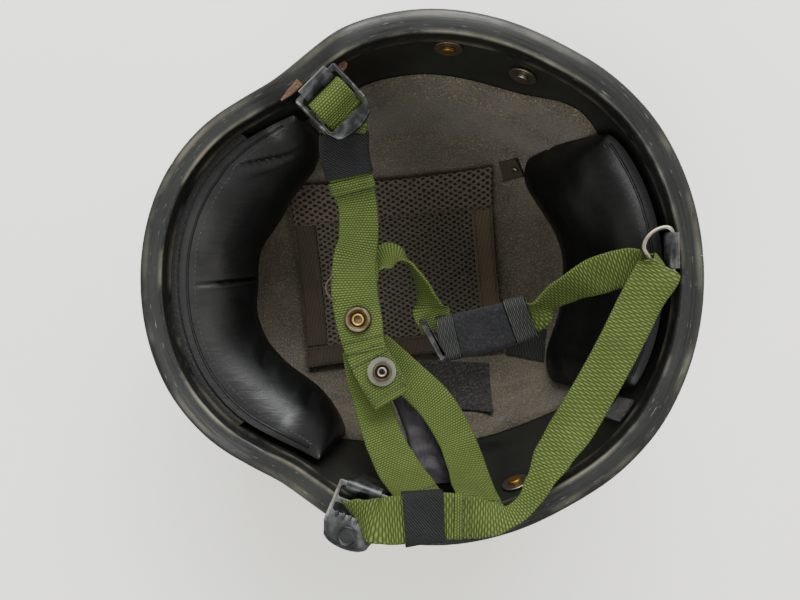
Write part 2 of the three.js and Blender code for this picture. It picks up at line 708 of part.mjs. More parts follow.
const rightWound = [
  { down: 5.8, out: -3 },
  { down: 4.7, out: 0 },
  { down: 8, out: 3.6 },
  { down: 11.6, out: 6.2 },
];
const rearStrap = [
  { x: -22, y: -13, z: -110.5, lean: -64, turn: -28, wide: 21 },
  { x: -13, y: -11, z: -111, lean: -84, turn: -12 },
  { x: -2, y: -9.4, z: -110.5, lean: -87 },
  { x: 9, y: -9, z: -110, lean: -88 },
  { x: 21, y: -9.4, z: -110.5, lean: -88, wide: 20 },
  { x: 31.5, y: -11, z: -111, lean: -84, turn: -30, wide: 16 },
  { x: 40, y: -11, z: -109.5, lean: -68, turn: -46, wide: 11 },
  { x: 47.5, y: -9.5, z: -104, lean: -20, turn: -40, wide: 11 },
  { x: 53.5, y: -7.5, z: -95, lean: 8, turn: -30, wide: 14 },
  { x: 60.5, y: -5, z: -83.5, lean: 20, turn: -18, wide: 19 },
  { x: 73.2, y: -2.6, z: -66, lean: 20, wide: 20.5 },
  { x: 91.6, y: -2, z: -34.5, lean: 6, wide: 20.5 },
  { x: 103.6, y: -2, z: -11, lean: -22, wide: 20.5 },
  { x: 111.5, y: -2.6, z: 2.6, lean: -52, wide: 22 },
  { x: 112.2, y: -1, z: 5.6, lean: -56, wide: 8 },
  { x: 112.9, y: 3.8, z: 7.4, lean: -57, wide: 7 },
  { x: 110.5, y: 7.4, z: 5.6, lean: -57, wide: 10 },
  { x: 107.5, y: 9, z: 4.5, lean: -64, turn: 6, wide: 17 },
  { x: 101, y: 13, z: 4, lean: -82, turn: 14, wide: 19 },
  { x: 89, y: 19, z: 0.5, lean: -98, turn: 24, wide: 20 },
  { x: 74.5, y: 27, z: -6.5, lean: -106, turn: 42, wide: 18 },
  { x: 65, y: 33, z: -13, lean: -104, turn: 44, wide: 15 },
  { x: 59, y: 37, z: -19.5, lean: -92, turn: 26, wide: 19 },
  { x: 42, y: 41.5, z: -25, lean: -80, turn: 6, wide: 20 },
  { x: 20, y: 45, z: -30, lean: -78, wide: 20 },
  { x: 10.5, y: 46.5, z: -32, lean: -76, wide: 20 },
];
const archStrap = [
  { x: 6, y: 47.5, z: -17, lean: -10, wide: 20 },
  { x: 5, y: 46, z: -12, lean: -20, turn: -40, wide: 18 },
  { x: 3, y: 44, z: -6, lean: -24, turn: -58, wide: 18 },
  { x: -3, y: 42.5, z: 5.5, lean: -40, turn: -64, wide: 20 },
  { x: -10.5, y: 42, z: 13, lean: -62, turn: -56, wide: 20 },
  { x: -18.5, y: 42, z: 12, lean: -100, turn: -40, wide: 20 },
  { x: -25, y: 42.5, z: 5.5, lean: -120, turn: -26, wide: 20 },
  { x: -32, y: 42, z: -1.5, lean: -140, turn: -10, wide: 20 },
];
const chinLeft = [
  { x: -31, y: 36.5, z: -36, lean: 2, turn: 6, wide: 19.5 },
  { x: -29, y: 37.5, z: -50.5, lean: -6, turn: 6, wide: 19.5 },
  { x: -26, y: 38, z: -62, lean: -10, wide: 19.5 },
  { x: -23, y: 37, z: -73.5, lean: -8, wide: 19.5 },
  { x: -18.5, y: 33, z: -85, lean: -2, wide: 20.5 },
  { x: -12, y: 24, z: -95.5, lean: 6 },
  { x: -5.5, y: 12, z: -101.5, lean: 9 },
  { x: -2, y: 1.5, z: -104.5, lean: 10 },
];
const chinRight = [
  { x: -24, y: 43, z: -36, lean: 8, turn: 4, wide: 19.5 },
  { x: -9, y: 43, z: -49.5, lean: 15, turn: 10, wide: 19.5 },
  { x: 7, y: 40, z: -65, lean: 2, wide: 19.5 },
  { x: 17, y: 34, z: -81.5, lean: -6, wide: 19.5 },
  { x: 22, y: 22, z: -94.5, lean: -10, wide: 20.5 },
  { x: 24, y: 8, z: -101, lean: -12 },
  { x: 25.5, y: -1, z: -103.5, lean: -14 },
  { x: 26, y: -5, z: -107, lean: -18 },
  { x: 27, y: -5.4, z: -112, lean: -22 },
];
const chinLining = [
  { x: -9, y: 45.5, z: -60, lean: 0, wide: 15 },
  { x: -1, y: 45, z: -73, lean: -4, wide: 20 },
  { x: 4, y: 41.5, z: -86, lean: -4, wide: 22 },
  { x: 8, y: 33.5, z: -96.5, lean: -4, wide: 22 },
  { x: 10.5, y: 25, z: -103.5, lean: -4, wide: 20 },
];

add("left_strap", strap([...overCrossbar(leftTube, leftFrame, leftWound), ...leftStrap]), webbing);
add("rear_strap", strap([...overCrossbar(rightTube, rightFrame, rightWound), ...rearStrap]), webbing);
add("arch_strap", strap(archStrap), webbing);
add("chin_strap_left", strap(chinLeft), webbing);
add("chin_strap_right", strap(chinRight), webbing);
add("chin_lining", strap(chinLining, 1.4), vinyl);

// Elastic keepers and the padded sleeve are closed round the straps that they hold
const between = (a, b, t) => {
  const mixed = {};
  for (const key of ["x", "y", "z", "lean", "turn"]) mixed[key] = THREE.MathUtils.lerp(a[key] ?? 0, b[key] ?? 0, t);
  return { ...mixed, wide: THREE.MathUtils.lerp(a.wide ?? webWide, b.wide ?? webWide, t) };
};
add("left_keeper", sleeve([between(leftStrap[0], leftStrap[1], 0.3), leftStrap[1], leftStrap[2]], 2.8, keeperThick, 4, 1.2), elastic);
add("right_keeper", sleeve([between(rearStrap[1], rearStrap[2], 0.3), rearStrap[2], rearStrap[3]], 2.8, keeperThick), elastic);
const [mouth, middle, far, tail] = rearStrap.slice(-4);
add("velour_sleeve", sleeve([between(mouth, middle, 0.72), middle, far], 3.2, 1.4), velour);
add("sleeve_right_cuff", sleeve([between(mouth, middle, 0.1), between(mouth, middle, 0.4), between(mouth, middle, 0.69)], 3.6, 1.6, 2, 2.8), elastic);
add("sleeve_left_cuff", sleeve([between(far, tail, 0.06), between(far, tail, 0.5), tail], 3.4, 1.6, 2), elastic);

// Press studs on the strap's end
const socketProfile = [[2.6, 0], [7, 0], [7, 1], [5.6, 2.2], [4.4, 2.6], [3.4, 1.6], [2.6, 1.2]];
const studWasher = [[3.2, 0], [7.4, 0], [7.4, 0.7], [3.2, 0.7]];
const studProfile = [[1.6, 0], [2.8, 0], [2.8, 1.4], [4.8, 1.6], [4.8, 2.6], [3.4, 3.4], [1.6, 2.6]];
const closedProfile = (profile) => [...profile, profile[0]];
add("snap_socket", turned(closedProfile(socketProfile), 20, vec(-31.8, 30.2, -20), vec(0, -1, 0)), agedBrass);
add("stud_washer", turned(closedProfile(studWasher), 20, vec(-20, 27.6, -46.5), vec(0.1, -1, 0)), brightSteel);
add("snap_stud", turned(closedProfile(studProfile), 16, vec(-20, 27.5, -46.5), vec(0.1, -1, 0)), agedBrass);

// The flat slider where the arch strap starts, beside the sleeve's mouth
const slider = { wide: 5.5, high: 24, thick: 2, slotWide: 2.2, slotHigh: 19.5 };
const sliderOutline = new THREE.Shape();
sliderOutline.moveTo(-slider.wide / 2, -slider.high / 2);
sliderOutline.lineTo(slider.wide / 2, -slider.high / 2);
sliderOutline.lineTo(slider.wide / 2, slider.high / 2);
sliderOutline.lineTo(-slider.wide / 2, slider.high / 2);
sliderOutline.closePath();
const sliderSlot = new THREE.Path();
sliderSlot.moveTo(-slider.slotWide / 2, -slider.slotHigh / 2);
sliderSlot.lineTo(-slider.slotWide / 2, slider.slotHigh / 2);
sliderSlot.lineTo(slider.slotWide / 2, slider.slotHigh / 2);
sliderSlot.lineTo(slider.slotWide / 2, -slider.slotHigh / 2);
sliderSlot.closePath();
sliderOutline.holes.push(sliderSlot);
const sliderSolid = new THREE.ExtrudeGeometry(sliderOutline, { depth: slider.thick, bevelEnabled: false });
const sliderTurn = new THREE.Quaternion().setFromEuler(new THREE.Euler(-Math.PI / 2, rad(-28), 0, "YXZ"));
add("slider", placed(sliderSolid, sliderTurn, vec(3.2, 42.5, -31)), blackSteel);

const shell = manifoldOf(shellSolid());
shellScrew("left_ear_screw", 97.9, 20);
shellScrew("left_rear_screw", 117.5, 30, { finishInside: brightSteel });
shellScrew("right_rear_screw", -114, 30);
let bored = shell;
for (const hole of holes) bored = bored.subtract(manifoldOf(hole));
add("shell", geometryOf(bored), paint);

// The helmet turned over: its crown down, origin on the floor under the middle
helmet.rotation.set(-Math.PI / 2, 0, 0);
const stand = new THREE.Group();
stand.add(helmet);
stand.updateMatrixWorld(true);
const reachBox = new THREE.Box3().setFromObject(stand, true);
const centre = reachBox.getCenter(vec(0, 0, 0));
helmet.position.set(-centre.x, -centre.y, -reachBox.min.z);

export default stand;
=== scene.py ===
"""A ballistic helmet that stands on its crown, with its liner, pads and chin strap showing."""

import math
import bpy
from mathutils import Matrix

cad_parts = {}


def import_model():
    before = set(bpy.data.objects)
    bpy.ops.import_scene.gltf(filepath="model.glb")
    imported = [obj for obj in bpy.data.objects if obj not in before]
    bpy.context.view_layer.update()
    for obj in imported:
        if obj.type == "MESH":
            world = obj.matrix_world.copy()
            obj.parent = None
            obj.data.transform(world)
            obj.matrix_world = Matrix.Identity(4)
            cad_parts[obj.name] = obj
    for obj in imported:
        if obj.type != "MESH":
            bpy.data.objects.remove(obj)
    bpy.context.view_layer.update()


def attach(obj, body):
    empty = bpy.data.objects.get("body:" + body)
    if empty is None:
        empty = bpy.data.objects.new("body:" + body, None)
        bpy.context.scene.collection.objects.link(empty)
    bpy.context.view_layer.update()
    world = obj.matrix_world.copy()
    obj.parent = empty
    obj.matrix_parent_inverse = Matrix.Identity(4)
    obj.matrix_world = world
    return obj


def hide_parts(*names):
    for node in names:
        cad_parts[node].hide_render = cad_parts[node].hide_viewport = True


bl_info = {
    "name": "Ballistic helmet",
    "version": (1, 0, 0),
    "blender": (4, 5, 0),
    "location": "3D View > Sidebar > Helmet",
    "description": "Builds a ballistic helmet with its liner, pads, chin strap and fittings",
    "category": "Add Mesh",
}

import bmesh
import bpy
from bpy.props import FloatProperty, FloatVectorProperty, PointerProperty
from mathutils import Matrix, Vector, noise

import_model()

# Sizes are in millimetres in the helmet's own frame: x from brow to nape, y from the ear rim
# to the crown, z from the right ear to the left. A turn goes round from the brow, 90 at the left ear.
MM = 0.001
AXIS_SHIFT = 4.736
CROWN = 178.0

# Faces that meet at a wider angle than this make a sharp edge, on hard pieces and on soft ones
SHARP = 40.0
SHARP_ON_SOFT = 60.0

# Shell
WALL = 8.0
DOME_HEIGHT = 108.0
DOME_FRONT = 133.0
DOME_BACK = 129.0
DOME_SIDE = 108.0
DOME_ROUND = 2.3
PLAN_ROUND = 2.15
FLAT_SPOT = 22.0
FLAT_ROWS = (0.35, 0.7, 1.0)
SHELL_SIDES = 192
SHELL_ROWS = 60

# The rim is cut back towards the crown at the brow and at the nape, and the cut fades over some turn
BROW_RIM = 42.0
BROW_CUT_ENDS = 44
BROW_CUT_FADE = 30
NAPE_RIM = 12.3
NAPE_CUT_STARTS = 100
NAPE_CUT_FADE = 80

# The wall flares out from this far below the crown, and from less far by the ears
FLARE_FROM = 84.0
FLARE_BY_EAR = 74.0
EAR_TURN = 92
EAR_FADE = 60

# How far the edge trim reaches from the axis
TRIM_REACH = [
    (0, 147.0),
    (20, 145.5),
    (34, 140.5),
    (46, 133.0),
    (56, 125.0),
    (66, 122.0),
    (78, 124.5),
    (92, 126.5),
    (108, 127.5),
    (122, 129.0),
    (136, 133.0),
    (150, 136.0),
    (180, 137.5),
]

# Edge trim, and the bead along its inner edge, placed by steps of the lip's half round
GAP = 0.3
TRIM_WALL = 1.7
TRIM_LEG = 11.0
TRIM_LIP = 2.2
TRIM_CORNER = 0.9
LIP_STEPS = 16
BEAD_HIGH = 0.5
BEAD_STEP = 13.2
BEAD_WIDE = 1.1
BROW_SEAM = 26.25
NAPE_SEAM = 176.25

# Liner. It is thicker over the crown, past a step, and the pads lie on it
LINER_GRIP = 8.5
LINER_WALL = 4.0
CROWN_STEP = 3.0
STEP_DEPTH = 106
STEP_RUN = 8
PAD_GRIP = 13.4
PAD_STEP_DEPTH = 84
PAD_STEP_RUN = 14
LINER_SIDES = 240
LINER_ROWS = 84
DISC_WELT = 2.8
DISC_WELT_WIDE = 2.4
DISC_RISE = 1.5
RIDGE_HIGH = 2.4
RIDGE_WIDE = 2.0
LINER_ROUND = 2.2

# The depth at which the liner's edge runs round the wall, by turn
LINER_EDGE = [
    (-180, 60.0),
    (-150, 78.0),
    (-128, 96.0),
    (-100, 97.0),
    (-70, 96.0),
    (-50, 84.0),
    (0, 70.0),
    (30, 74.0),
    (45, 80.0),
    (60, 68.0),
    (72, 52.0),
    (90, 48.0),
    (118, 50.0),
    (134, 36.0),
    (148, 50.0),
    (180, 60.0),
]
# The raised edge of the crown disc, by turn and depth
DISC_EDGE = [
    (-180, 100.0),
    (-150, 112.0),
    (-120, 128.0),
    (-90, 128.0),
    (-50, 120.0),
    (0, 100.0),
    (45, 88.0),
    (68, 74.0),
    (90, 62.0),
    (112, 66.0),
    (134, 82.0),
    (180, 100.0),
]


# Helpers


def world(point):
    """A point of the helmet's frame, in metres where the helmet stands."""
    return Vector(((point[0] + AXIS_SHIFT) * MM, point[2] * MM, (CROWN - point[1]) * MM))


def smooth(value):
    """An eased step from 0 to 1."""
    s = min(max(value, 0.0), 1.0)
    return s * s * (3 - 2 * s)


def mix(a, b, t):
    """The value a share t of the way from a to b."""
    return a + (b - a) * t


def along(rows, value):
    """A smooth curve through the rows of a table, level at both ends."""
    last = len(rows) - 1
    i = 0
    while i < last - 1 and value > rows[i + 1][0]:
        i += 1

    def slope(k):
        if k in (0, last):
            return 0.0
        return (rows[k + 1][1] - rows[k - 1][1]) / (rows[k + 1][0] - rows[k - 1][0])

    span = rows[i + 1][0] - rows[i][0]
    t = min(max((value - rows[i][0]) / span, 0.0), 1.0)
    start = rows[i][1] * (2 * t**3 - 3 * t**2 + 1) + span * slope(i) * (t**3 - 2 * t**2 + t)
    end = rows[i + 1][1] * (3 * t**2 - 2 * t**3) + span * slope(i + 1) * (t**3 - t**2)
    return start + end


def wrapped(turn):
    """A turn from -180 to 180."""
    return (turn + 180.0) % 360.0 - 180.0


def edge_reach(turn):
    """How far the shell's edge lies from the axis."""
    return along(TRIM_REACH, abs(wrapped(turn))) - TRIM_WALL - GAP


def edge_depth(turn):
    """How far the rim lies towards the crown from its level at the ears."""
    side = abs(wrapped(turn))
    brow = 1 - smooth((side - BROW_CUT_ENDS) / BROW_CUT_FADE)
    nape = smooth((side - NAPE_CUT_STARTS) / NAPE_CUT_FADE)
    return BROW_RIM * brow + NAPE_RIM * nape


def dome_reach(turn):
    """How far the dome reaches from the axis at its widest."""
    ahead = math.cos(math.radians(turn))
    across = abs(math.sin(math.radians(turn)))
    length = DOME_FRONT if ahead > 0 else DOME_BACK
    return ((abs(ahead) / length) ** PLAN_ROUND + (across / DOME_SIDE) ** PLAN_ROUND) ** (-1 / PLAN_ROUND)


def wall_reach(turn, depth, inset):
    """How far the wall, or a skin inset mm inside it, lies from the axis at a depth."""
    down = CROWN - depth
    opened = min(max(1 - (down - inset) / (DOME_HEIGHT - inset), 0.0), 1.0)
    full = dome_reach(turn)
    dome = (full - inset) * (1 - opened**DOME_ROUND) ** (1 / DOME_ROUND)
    ear = 1 - smooth(abs(abs(wrapped(turn)) - EAR_TURN) / EAR_FADE)
    start = mix(FLARE_FROM, FLARE_BY_EAR, ear)
    flare = smooth((down - start) / (CROWN - edge_depth(turn) - start))
    return dome + (edge_reach(turn) - full) * flare


def polar(turn, reach, depth):
    """A point by turn, distance from the axis and depth."""
    angle = math.radians(turn)
    return Vector((-reach * math.cos(angle), depth, reach * math.sin(angle)))


def on_wall(turn, depth, inset):
    """A point of the wall, or of a skin inset mm inside it."""
    return polar(turn, wall_reach(turn, depth, inset), depth)


def wall_normal(turn, depth):
    """The way that the wall faces outwards."""
    up = on_wall(turn, depth + 1, 0) - on_wall(turn, depth - 1, 0)
    around = on_wall(turn + 1, depth, 0) - on_wall(turn - 1, depth, 0)
    normal = up.cross(around).normalized()
    return -normal if normal.dot(polar(turn, 1, 0)) < 0 else normal


def crown_skin(x, z, inset):
    """Depth of a skin inset mm inside the crown, over a point of the plan."""
    turn = math.degrees(math.atan2(z, -x))
    share = min(math.hypot(x, z) / (dome_reach(turn) - inset), 0.995)
    down = inset + (DOME_HEIGHT - inset) * (1 - (1 - share**DOME_ROUND) ** (1 / DOME_ROUND))
    return CROWN - down


def liner_inset(depth):
    """How far the plain liner's face lies inside the shell."""
    return LINER_GRIP + LINER_WALL + CROWN_STEP * smooth((depth - STEP_DEPTH) / STEP_RUN)


def back_inset(depth):
    """How far a pad's back lies inside the shell."""
    return PAD_GRIP + CROWN_STEP * smooth((depth - PAD_STEP_DEPTH) / PAD_STEP_RUN)


def loft(rings, us=None, vs=None, loop=False, tips=(None, None)):
    """Joins rings of points into one closed skin, with a coordinate round the rings and one along them."""
    size = len(rings[0])
    count = len(rings)
    points = [point for ring in rings for point in ring]
    us = us or [float(j) for j in range(size + 1)]
    vs = vs or [float(i) for i in range(count + 1)]
    faces = []
    coords = []
    for i in range(count if loop else count - 1):
        k = (i + 1) % count
        for j in range(size):
            n = (j + 1) % size
            faces.append((i * size + j, i * size + n, k * size + n, k * size + j))
            coords.append(((us[j], vs[i]), (us[j + 1], vs[i]), (us[j + 1], vs[i + 1]), (us[j], vs[i + 1])))
    if loop:
        return points, faces, coords
    for end, row in ((0, 0), (1, count - 1)):
        base = row * size
        if tips[end] is None:
            faces.append(tuple(range(base, base + size)))
            coords.append(tuple((us[j], vs[row]) for j in range(size)))
            continue
        points.append(tips[end])
        for j in range(size):
            faces.append((len(points) - 1, base + j, base + (j + 1) % size))
            coords.append(((us[j], vs[row]), (us[j], vs[row]), (us[j + 1], vs[row])))
    return points, faces, coords


def mesh_of(skin, name="part"):
    """A mesh of a skin's points and faces."""
    points, faces = skin[:2]
    mesh = bpy.data.meshes.new(name)
    mesh.from_pydata([world(point) for point in points], [], faces)
    return mesh


def piece(name, skin, sharp=SHARP, wear_and_highlight=None):
    """A finished piece from a skin, with its texture coordinates and a share per point of rubbed wear and
    painted highlight.
    """
    mesh = mesh_of(skin, name)
    layer = mesh.uv_layers.new(name="UVMap")
    layer.data.foreach_set("uv", [value * MM for corner in skin[2] for uv in corner for value in uv])
    if wear_and_highlight:
        rubbed_and_highlight = mesh.attributes.new("wear_and_highlight", "FLOAT", "POINT")
        rubbed_and_highlight.data.foreach_set("value", wear_and_highlight)
    solid = bmesh.new()
    solid.from_mesh(mesh)
    bmesh.ops.recalc_face_normals(solid, faces=solid.faces)
    solid.to_mesh(mesh)
    solid.free()
    return kept(name, mesh, sharp)


def kept(name, mesh, sharp):
    """Puts a mesh in the scene as a piece that rides on the helmet, with what PIECES says of it."""
    material, slot, node = PIECES[name]
    mesh.materials.clear()
    mesh.materials.append(finish(material))
    mesh.polygons.foreach_set("use_smooth", [True] * len(mesh.polygons))
    mesh.set_sharp_from_angle(angle=math.radians(sharp))
    made = bpy.data.objects.new(name, mesh)
    bpy.context.scene.collection.objects.link(made)
    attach(made, "root")
    if node:
        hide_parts(node)
    return made


# Straps as paths

# The wave of a worn web and of its edges, and how long they are
WAVE_LONG = 9.0
EDGE_WAVE = 0.012
EDGE_WAVE_LONG = 4.0


def path_point(points, u):
    """A point of the centripetal curve through the points, u from 0 to 1."""
    last = len(points) - 1
    place = min(max(u, 0.0), 1.0) * last
    i = min(int(place), last - 1)
    t = place - i
    p1, p2 = points[i], points[i + 1]
    p0 = points[i - 1] if i > 0 else p1 * 2 - p2
    p3 = points[i + 2] if i + 2 <= last else p2 * 2 - p1
    d0 = max((p1 - p0).length_squared, 1e-8) ** 0.25
    d1 = max((p2 - p1).length_squared, 1e-8) ** 0.25
    d2 = max((p3 - p2).length_squared, 1e-8) ** 0.25
    m1 = ((p1 - p0) / d0 - (p2 - p0) / (d0 + d1) + (p2 - p1) / d1) * d1
    m2 = ((p2 - p1) / d1 - (p3 - p1) / (d1 + d2) + (p3 - p2) / d2) * d1
    a = p1 * 2 - p2 * 2 + m1 + m2
    b = p2 * 3 - p1 * 3 - m1 * 2 - m2
    return a * t**3 + b * t**2 + m1 * t + p1


def stations(rows, steps=10):
    """Sections along a strap: middle, direction across, direction out of the face, width, way along."""
    points = [Vector(row[:3]) for row in rows]
    spans = len(rows) - 1
    found = []
    way = 0.0
    before = None
    for n in range(spans * steps + 1):
        i = min(n // steps, spans - 1)
        t = n / steps - i
        u = (i + t) / spans
        eased = smooth(t)
        lean = math.radians(mix(rows[i][3], rows[i + 1][3], eased))
        turn = math.radians(mix(rows[i][4], rows[i + 1][4], eased))
        wide = mix(rows[i][5], rows[i + 1][5], eased)
        across = Vector((math.cos(lean) * math.cos(turn), math.sin(turn), math.sin(lean) * math.cos(turn)))
        ahead = (path_point(points, u + 0.0005) - path_point(points, u - 0.0005)).normalized()
        across = (across - ahead * across.dot(ahead)).normalized()
        face = ahead.cross(across).normalized()
        at = path_point(points, u)
        way += (at - before).length if before else 0.0
        before = at
        found.append((at, across, face, wide, way))
    return found


def stadium(wide, thick, flat_steps=10, round_steps=4):
    """A flat section with round edges, as shares across and out of the face, and the way round it."""
    radius = thick / 2
    straight = max(wide / 2 - radius, 0.01)
    outline = []
    for side in (1, -1):
        for k in range(flat_steps):
            outline.append((side * mix(-straight, straight, k / flat_steps), side * radius))
        for k in range(round_steps):
            angle = math.pi / 2 - math.pi * k / round_steps
            outline.append((side * (straight + radius * math.cos(angle)), side * radius * math.sin(angle)))
    way = [0.0]
    for k in range(len(outline)):
        a = outline[k]
        b = outline[(k + 1) % len(outline)]
        way.append(way[-1] + math.hypot(a[0] - b[0], a[1] - b[1]))
    return outline, way


def web_rings(sections, thick, more=0.0, wave=0.0, seed=0.0):
    """Rings of a flat web along its sections, with a slight wave where it is worn."""
    rings = []
    for at, across, face, wide, way in sections:
        ring = []
        for a, f in stadium(wide + more, thick)[0]:
            lift = wave * noise.noise(Vector((a / WAVE_LONG, way / WAVE_LONG, seed)))
            side = 1.0 if a > 0 else -1.0
            edge = 1 + EDGE_WAVE * noise.noise(Vector((seed, way / EDGE_WAVE_LONG, side)))
            ring.append(at + across * (a * edge) + face * (f + lift))
        rings.append(ring)
    return rings, stadium(sections[0][3] + more, thick)[1]


def web(rows, thick, steps=10, wave=0.35, seed=0.0):
    """A flat web along its rows, as one closed skin."""
    sections = stations(rows, steps)
    rings, us = web_rings(sections, thick, wave=wave, seed=seed)
    return loft(rings, us, [section[4] for section in sections])


def tube_web(rows, inside, wall, steps=10, slack=1.0, wave=0.0, seed=0.0, hand=1):
    """A sleeve round a web, open at both ends. A hand of -1 turns its slanted weave the other way."""
    sections = stations(rows, steps)
    outer, us = web_rings(sections, inside + 2 * wall, slack + 2 * wall, wave, seed)
    inner = web_rings(sections, inside, slack, wave, seed)[0]
    ways = [section[4] for section in sections]
    return loft(outer + inner[::-1], [hand * u for u in us], ways + ways[::-1] + [ways[0]], loop=True)


def row(x, y, z, lean=0.0, turn=0.0, wide=22.0):
    """A row of a strap's table."""
    return (x, y, z, lean, turn, wide)


def between(a, b, t):
    """A row part of the way from one row to the next."""
    return tuple(mix(p, q, t) for p, q in zip(a, b))


def axes(first, second):
    """Three square axes: the first as given, the second turned square to it."""
    a = Vector(first).normalized()
    b = Vector(second)
    b = (b - a * b.dot(a)).normalized()
    return a, b, b.cross(a).normalized()


# The tubes of the buckles' clips and of the nape ring's clip, and each buckle's ways across it, down it
# and out of its face
LEFT_TUBE = Vector((-46.9, -4.0, 91.4))
LEFT_AXES = axes((0.73, -0.05, 0.68), (0.66, 0.14, -0.74))
RIGHT_TUBE = Vector((-28.0, -0.5, -99.6))
RIGHT_AXES = axes((0.93, -0.14, -0.33), (-0.26, -0.4, -0.88))
RING_TUBE = Vector((119.5, 4.0, 11.2))
# Width of the webbing on a crossbar, and in metres the full width that the rows below are drawn for
CROSSBAR_WEB = 19.5
WEB_WIDTH = 0.022


def on_buckle(tube, frame_axes, across, down, out):
    """A point of a buckle: across it, down it and out of its face."""
    return tube + frame_axes[0] * across + frame_axes[1] * down + frame_axes[2] * out


def over_crossbar(tube, frame_axes, rows):
    """Rows of a web wound over a buckle's crossbar, from how far down and out of the face it is."""
    across = frame_axes[0]
    lean = math.degrees(math.atan2(across.z, across.x))
    turn = math.degrees(math.asin(across.y))
    made = []
    for down, out in rows:
        at = on_buckle(tube, frame_axes, 0, down, out)
        made.append(row(at.x, at.y, at.z, lean, turn, CROSSBAR_WEB))
    return made


# Down the buckle, and out of its face
LEFT_WOUND = [(14, -4.4), (8.4, -3.2), (4.9, 0), (8.4, 3.2), (13, 2.2), (17, -1.2), (20.4, -3.2)]

# Rows of a strap: middle of the section, lean of its width in the opening's plane, its turn out of
# that plane, and its width
LEFT_STRAP = [
    row(-35, 4.5, 70, 28, -4, 20.5),
    row(-35.5, 10, 61, 8, 0, 20.5),
    row(-33.5, 16, 50.5, 0, 0, 20.5),
    row(-30.5, 21, 38, -6, 0, 19.5),
    row(-30.5, 26, 21, -2, 0, 20),
    row(-33, 29, 9.5, 3),
    row(-33.5, 31, -5, -4, 0, 24),
    row(-31.5, 31.5, -20, -2, 0, 24),
    row(-28, 30.5, -36.5, 16, 0, 21),
    row(-21.5, 29.5, -49, 22),
    row(-14.5, 29, -61, 22),
]
REAR_STRAP = [
    row(-22, -13, -110.5, -64, -28, 21),
    row(-13, -11, -111, -84, -12),
    row(-2, -9.4, -110.5, -87),
    row(9, -9, -110, -88),
    row(21, -9.4, -110.5, -88, 0, 20),
    row(31.5, -11, -111, -84, -30, 16),
    row(40, -11, -109.5, -68, -46, 11),
    row(47.5, -9.5, -104, -20, -40, 11),
    row(53.5, -7.5, -95, 8, -30, 14),
    row(60.5, -5, -83.5, 20, -18, 19),
    row(73.2, -2.6, -66, 20, 0, 20.5),
    row(91.6, -2, -34.5, 6, 0, 20.5),
    row(103.6, -2, -11, -22, 0, 20.5),
    row(111.5, -2.6, 2.6, -52, 0, 22),
    row(112.2, -1, 5.6, -56, 0, 8),
    row(112.9, 3.8, 7.4, -57, 0, 7),
    row(110.5, 7.4, 5.6, -57, 0, 10),
    row(107.5, 9, 4.5, -64, 6, 17),
    row(101, 13, 4, -82, 14, 19),
    row(89, 19, 0.5, -98, 24, 20),
    row(74.5, 27, -6.5, -106, 42, 18),
    row(65, 33, -13, -104, 44, 15),
    row(59, 37, -19.5, -92, 26, 19),
    row(42, 41.5, -25, -80, 6, 20),
    row(20, 45, -30, -78, 0, 20),
    row(10.5, 46.5, -32, -76, 0, 20),
]
# The rear strap is pinched where it leaves the buckle's crossbar
RIGHT_PINCH = [
    row(-36.6, 2.0, -106.8, -46, 12, 8),
    row(-35.2, -3.2, -107.4, -54, 4, 10),
    row(-30, -8.6, -108.6, -62, -12, 15),
]
ARCH_STRAP = [
    row(8.6, 47.5, -26, -28, 0, 17),
    row(6, 47.5, -17, -10, 0, 20),
    row(5, 46, -12, -20, -40, 18),
    row(3, 44, -6, -24, -58, 18),
    row(-3, 42.5, 5.5, -40, -64, 20),
    row(-10.5, 42, 13, -62, -56, 20),
    row(-18.5, 42, 12, -100, -40, 20),
    row(-25, 42.5, 5.5, -120, -26, 20),
    row(-32, 42, -1.5, -140, -10, 20),
]
CHIN_LEFT = [
    row(-31, 36.5, -36, 2, 6, 19.5),
    row(-29, 37.5, -50.5, -6, 6, 19.5),
    row(-26, 38, -62, -10, 0, 19.5),
    row(-23, 37, -73.5, -8, 0, 19.5),
    row(-18.5, 33, -85, -2, 0, 20.5),
    row(-12, 24, -95.5, 6),
    row(-5.5, 12, -101.5, 9),
    row(-2, 1.5, -104.5, 10),
]
CHIN_RIGHT = [
    row(-24, 43, -36, 8, 4, 19.5),
    row(-9, 43, -49.5, 15, 10, 19.5),
    row(7, 40, -65, 2, 0, 19.5),
    row(17, 34, -81.5, -6, 0, 19.5),
    row(22, 22, -94.5, -10, 0, 20.5),
    row(24, 8, -101, -12),
    row(25.5, -1, -103.5, -14),
    row(26, -5, -107, -18),
    row(27, -5.4, -112, -22),
]
CHIN_LINING = [
    row(-9, 45.5, -60, 0, 0, 15),
    row(-1, 45, -73, -4, 0, 20),
    row(4, 41.5, -86, -4, 0, 22),
    row(8, 33.5, -96.5, -4, 0, 22),
    row(10.5, 25, -103.5, -4, 0, 20),
]


# Materials


def shade(code):
    """An sRGB hex colour as the linear values that a shader takes."""
    values = [int(code[k : k + 2], 16) / 255 for k in (1, 3, 5)]
    linear = [v / 12.92 if v <= 0.04045 else ((v + 0.055) / 1.055) ** 2.4 for v in values]
    return (*linear, 1.0)


def tinted(code):
    """A colour given as hex, or by the name of one of the panel's colours."""
    if code.startswith("#"):
        return shade(code)
    return (*getattr(bpy.context.scene.helmet_colours, code), 1.0)


def put(tree, kind, inputs=None, **settings):
    """Adds a node with settings and inputs. An input that is a node is linked by its first live output."""
    made = tree.nodes.new(kind)
    for key, value in settings.items():
        setattr(made, key, value)
    for key, value in (inputs or {}).items():
        socket = made.inputs[key]
        if isinstance(value, bpy.types.Node):
            value = next(output for output in value.outputs if output.enabled)
        if isinstance(value, bpy.types.NodeSocket):
            tree.links.new(value, socket)
        else:
            socket.default_value = value
    return made


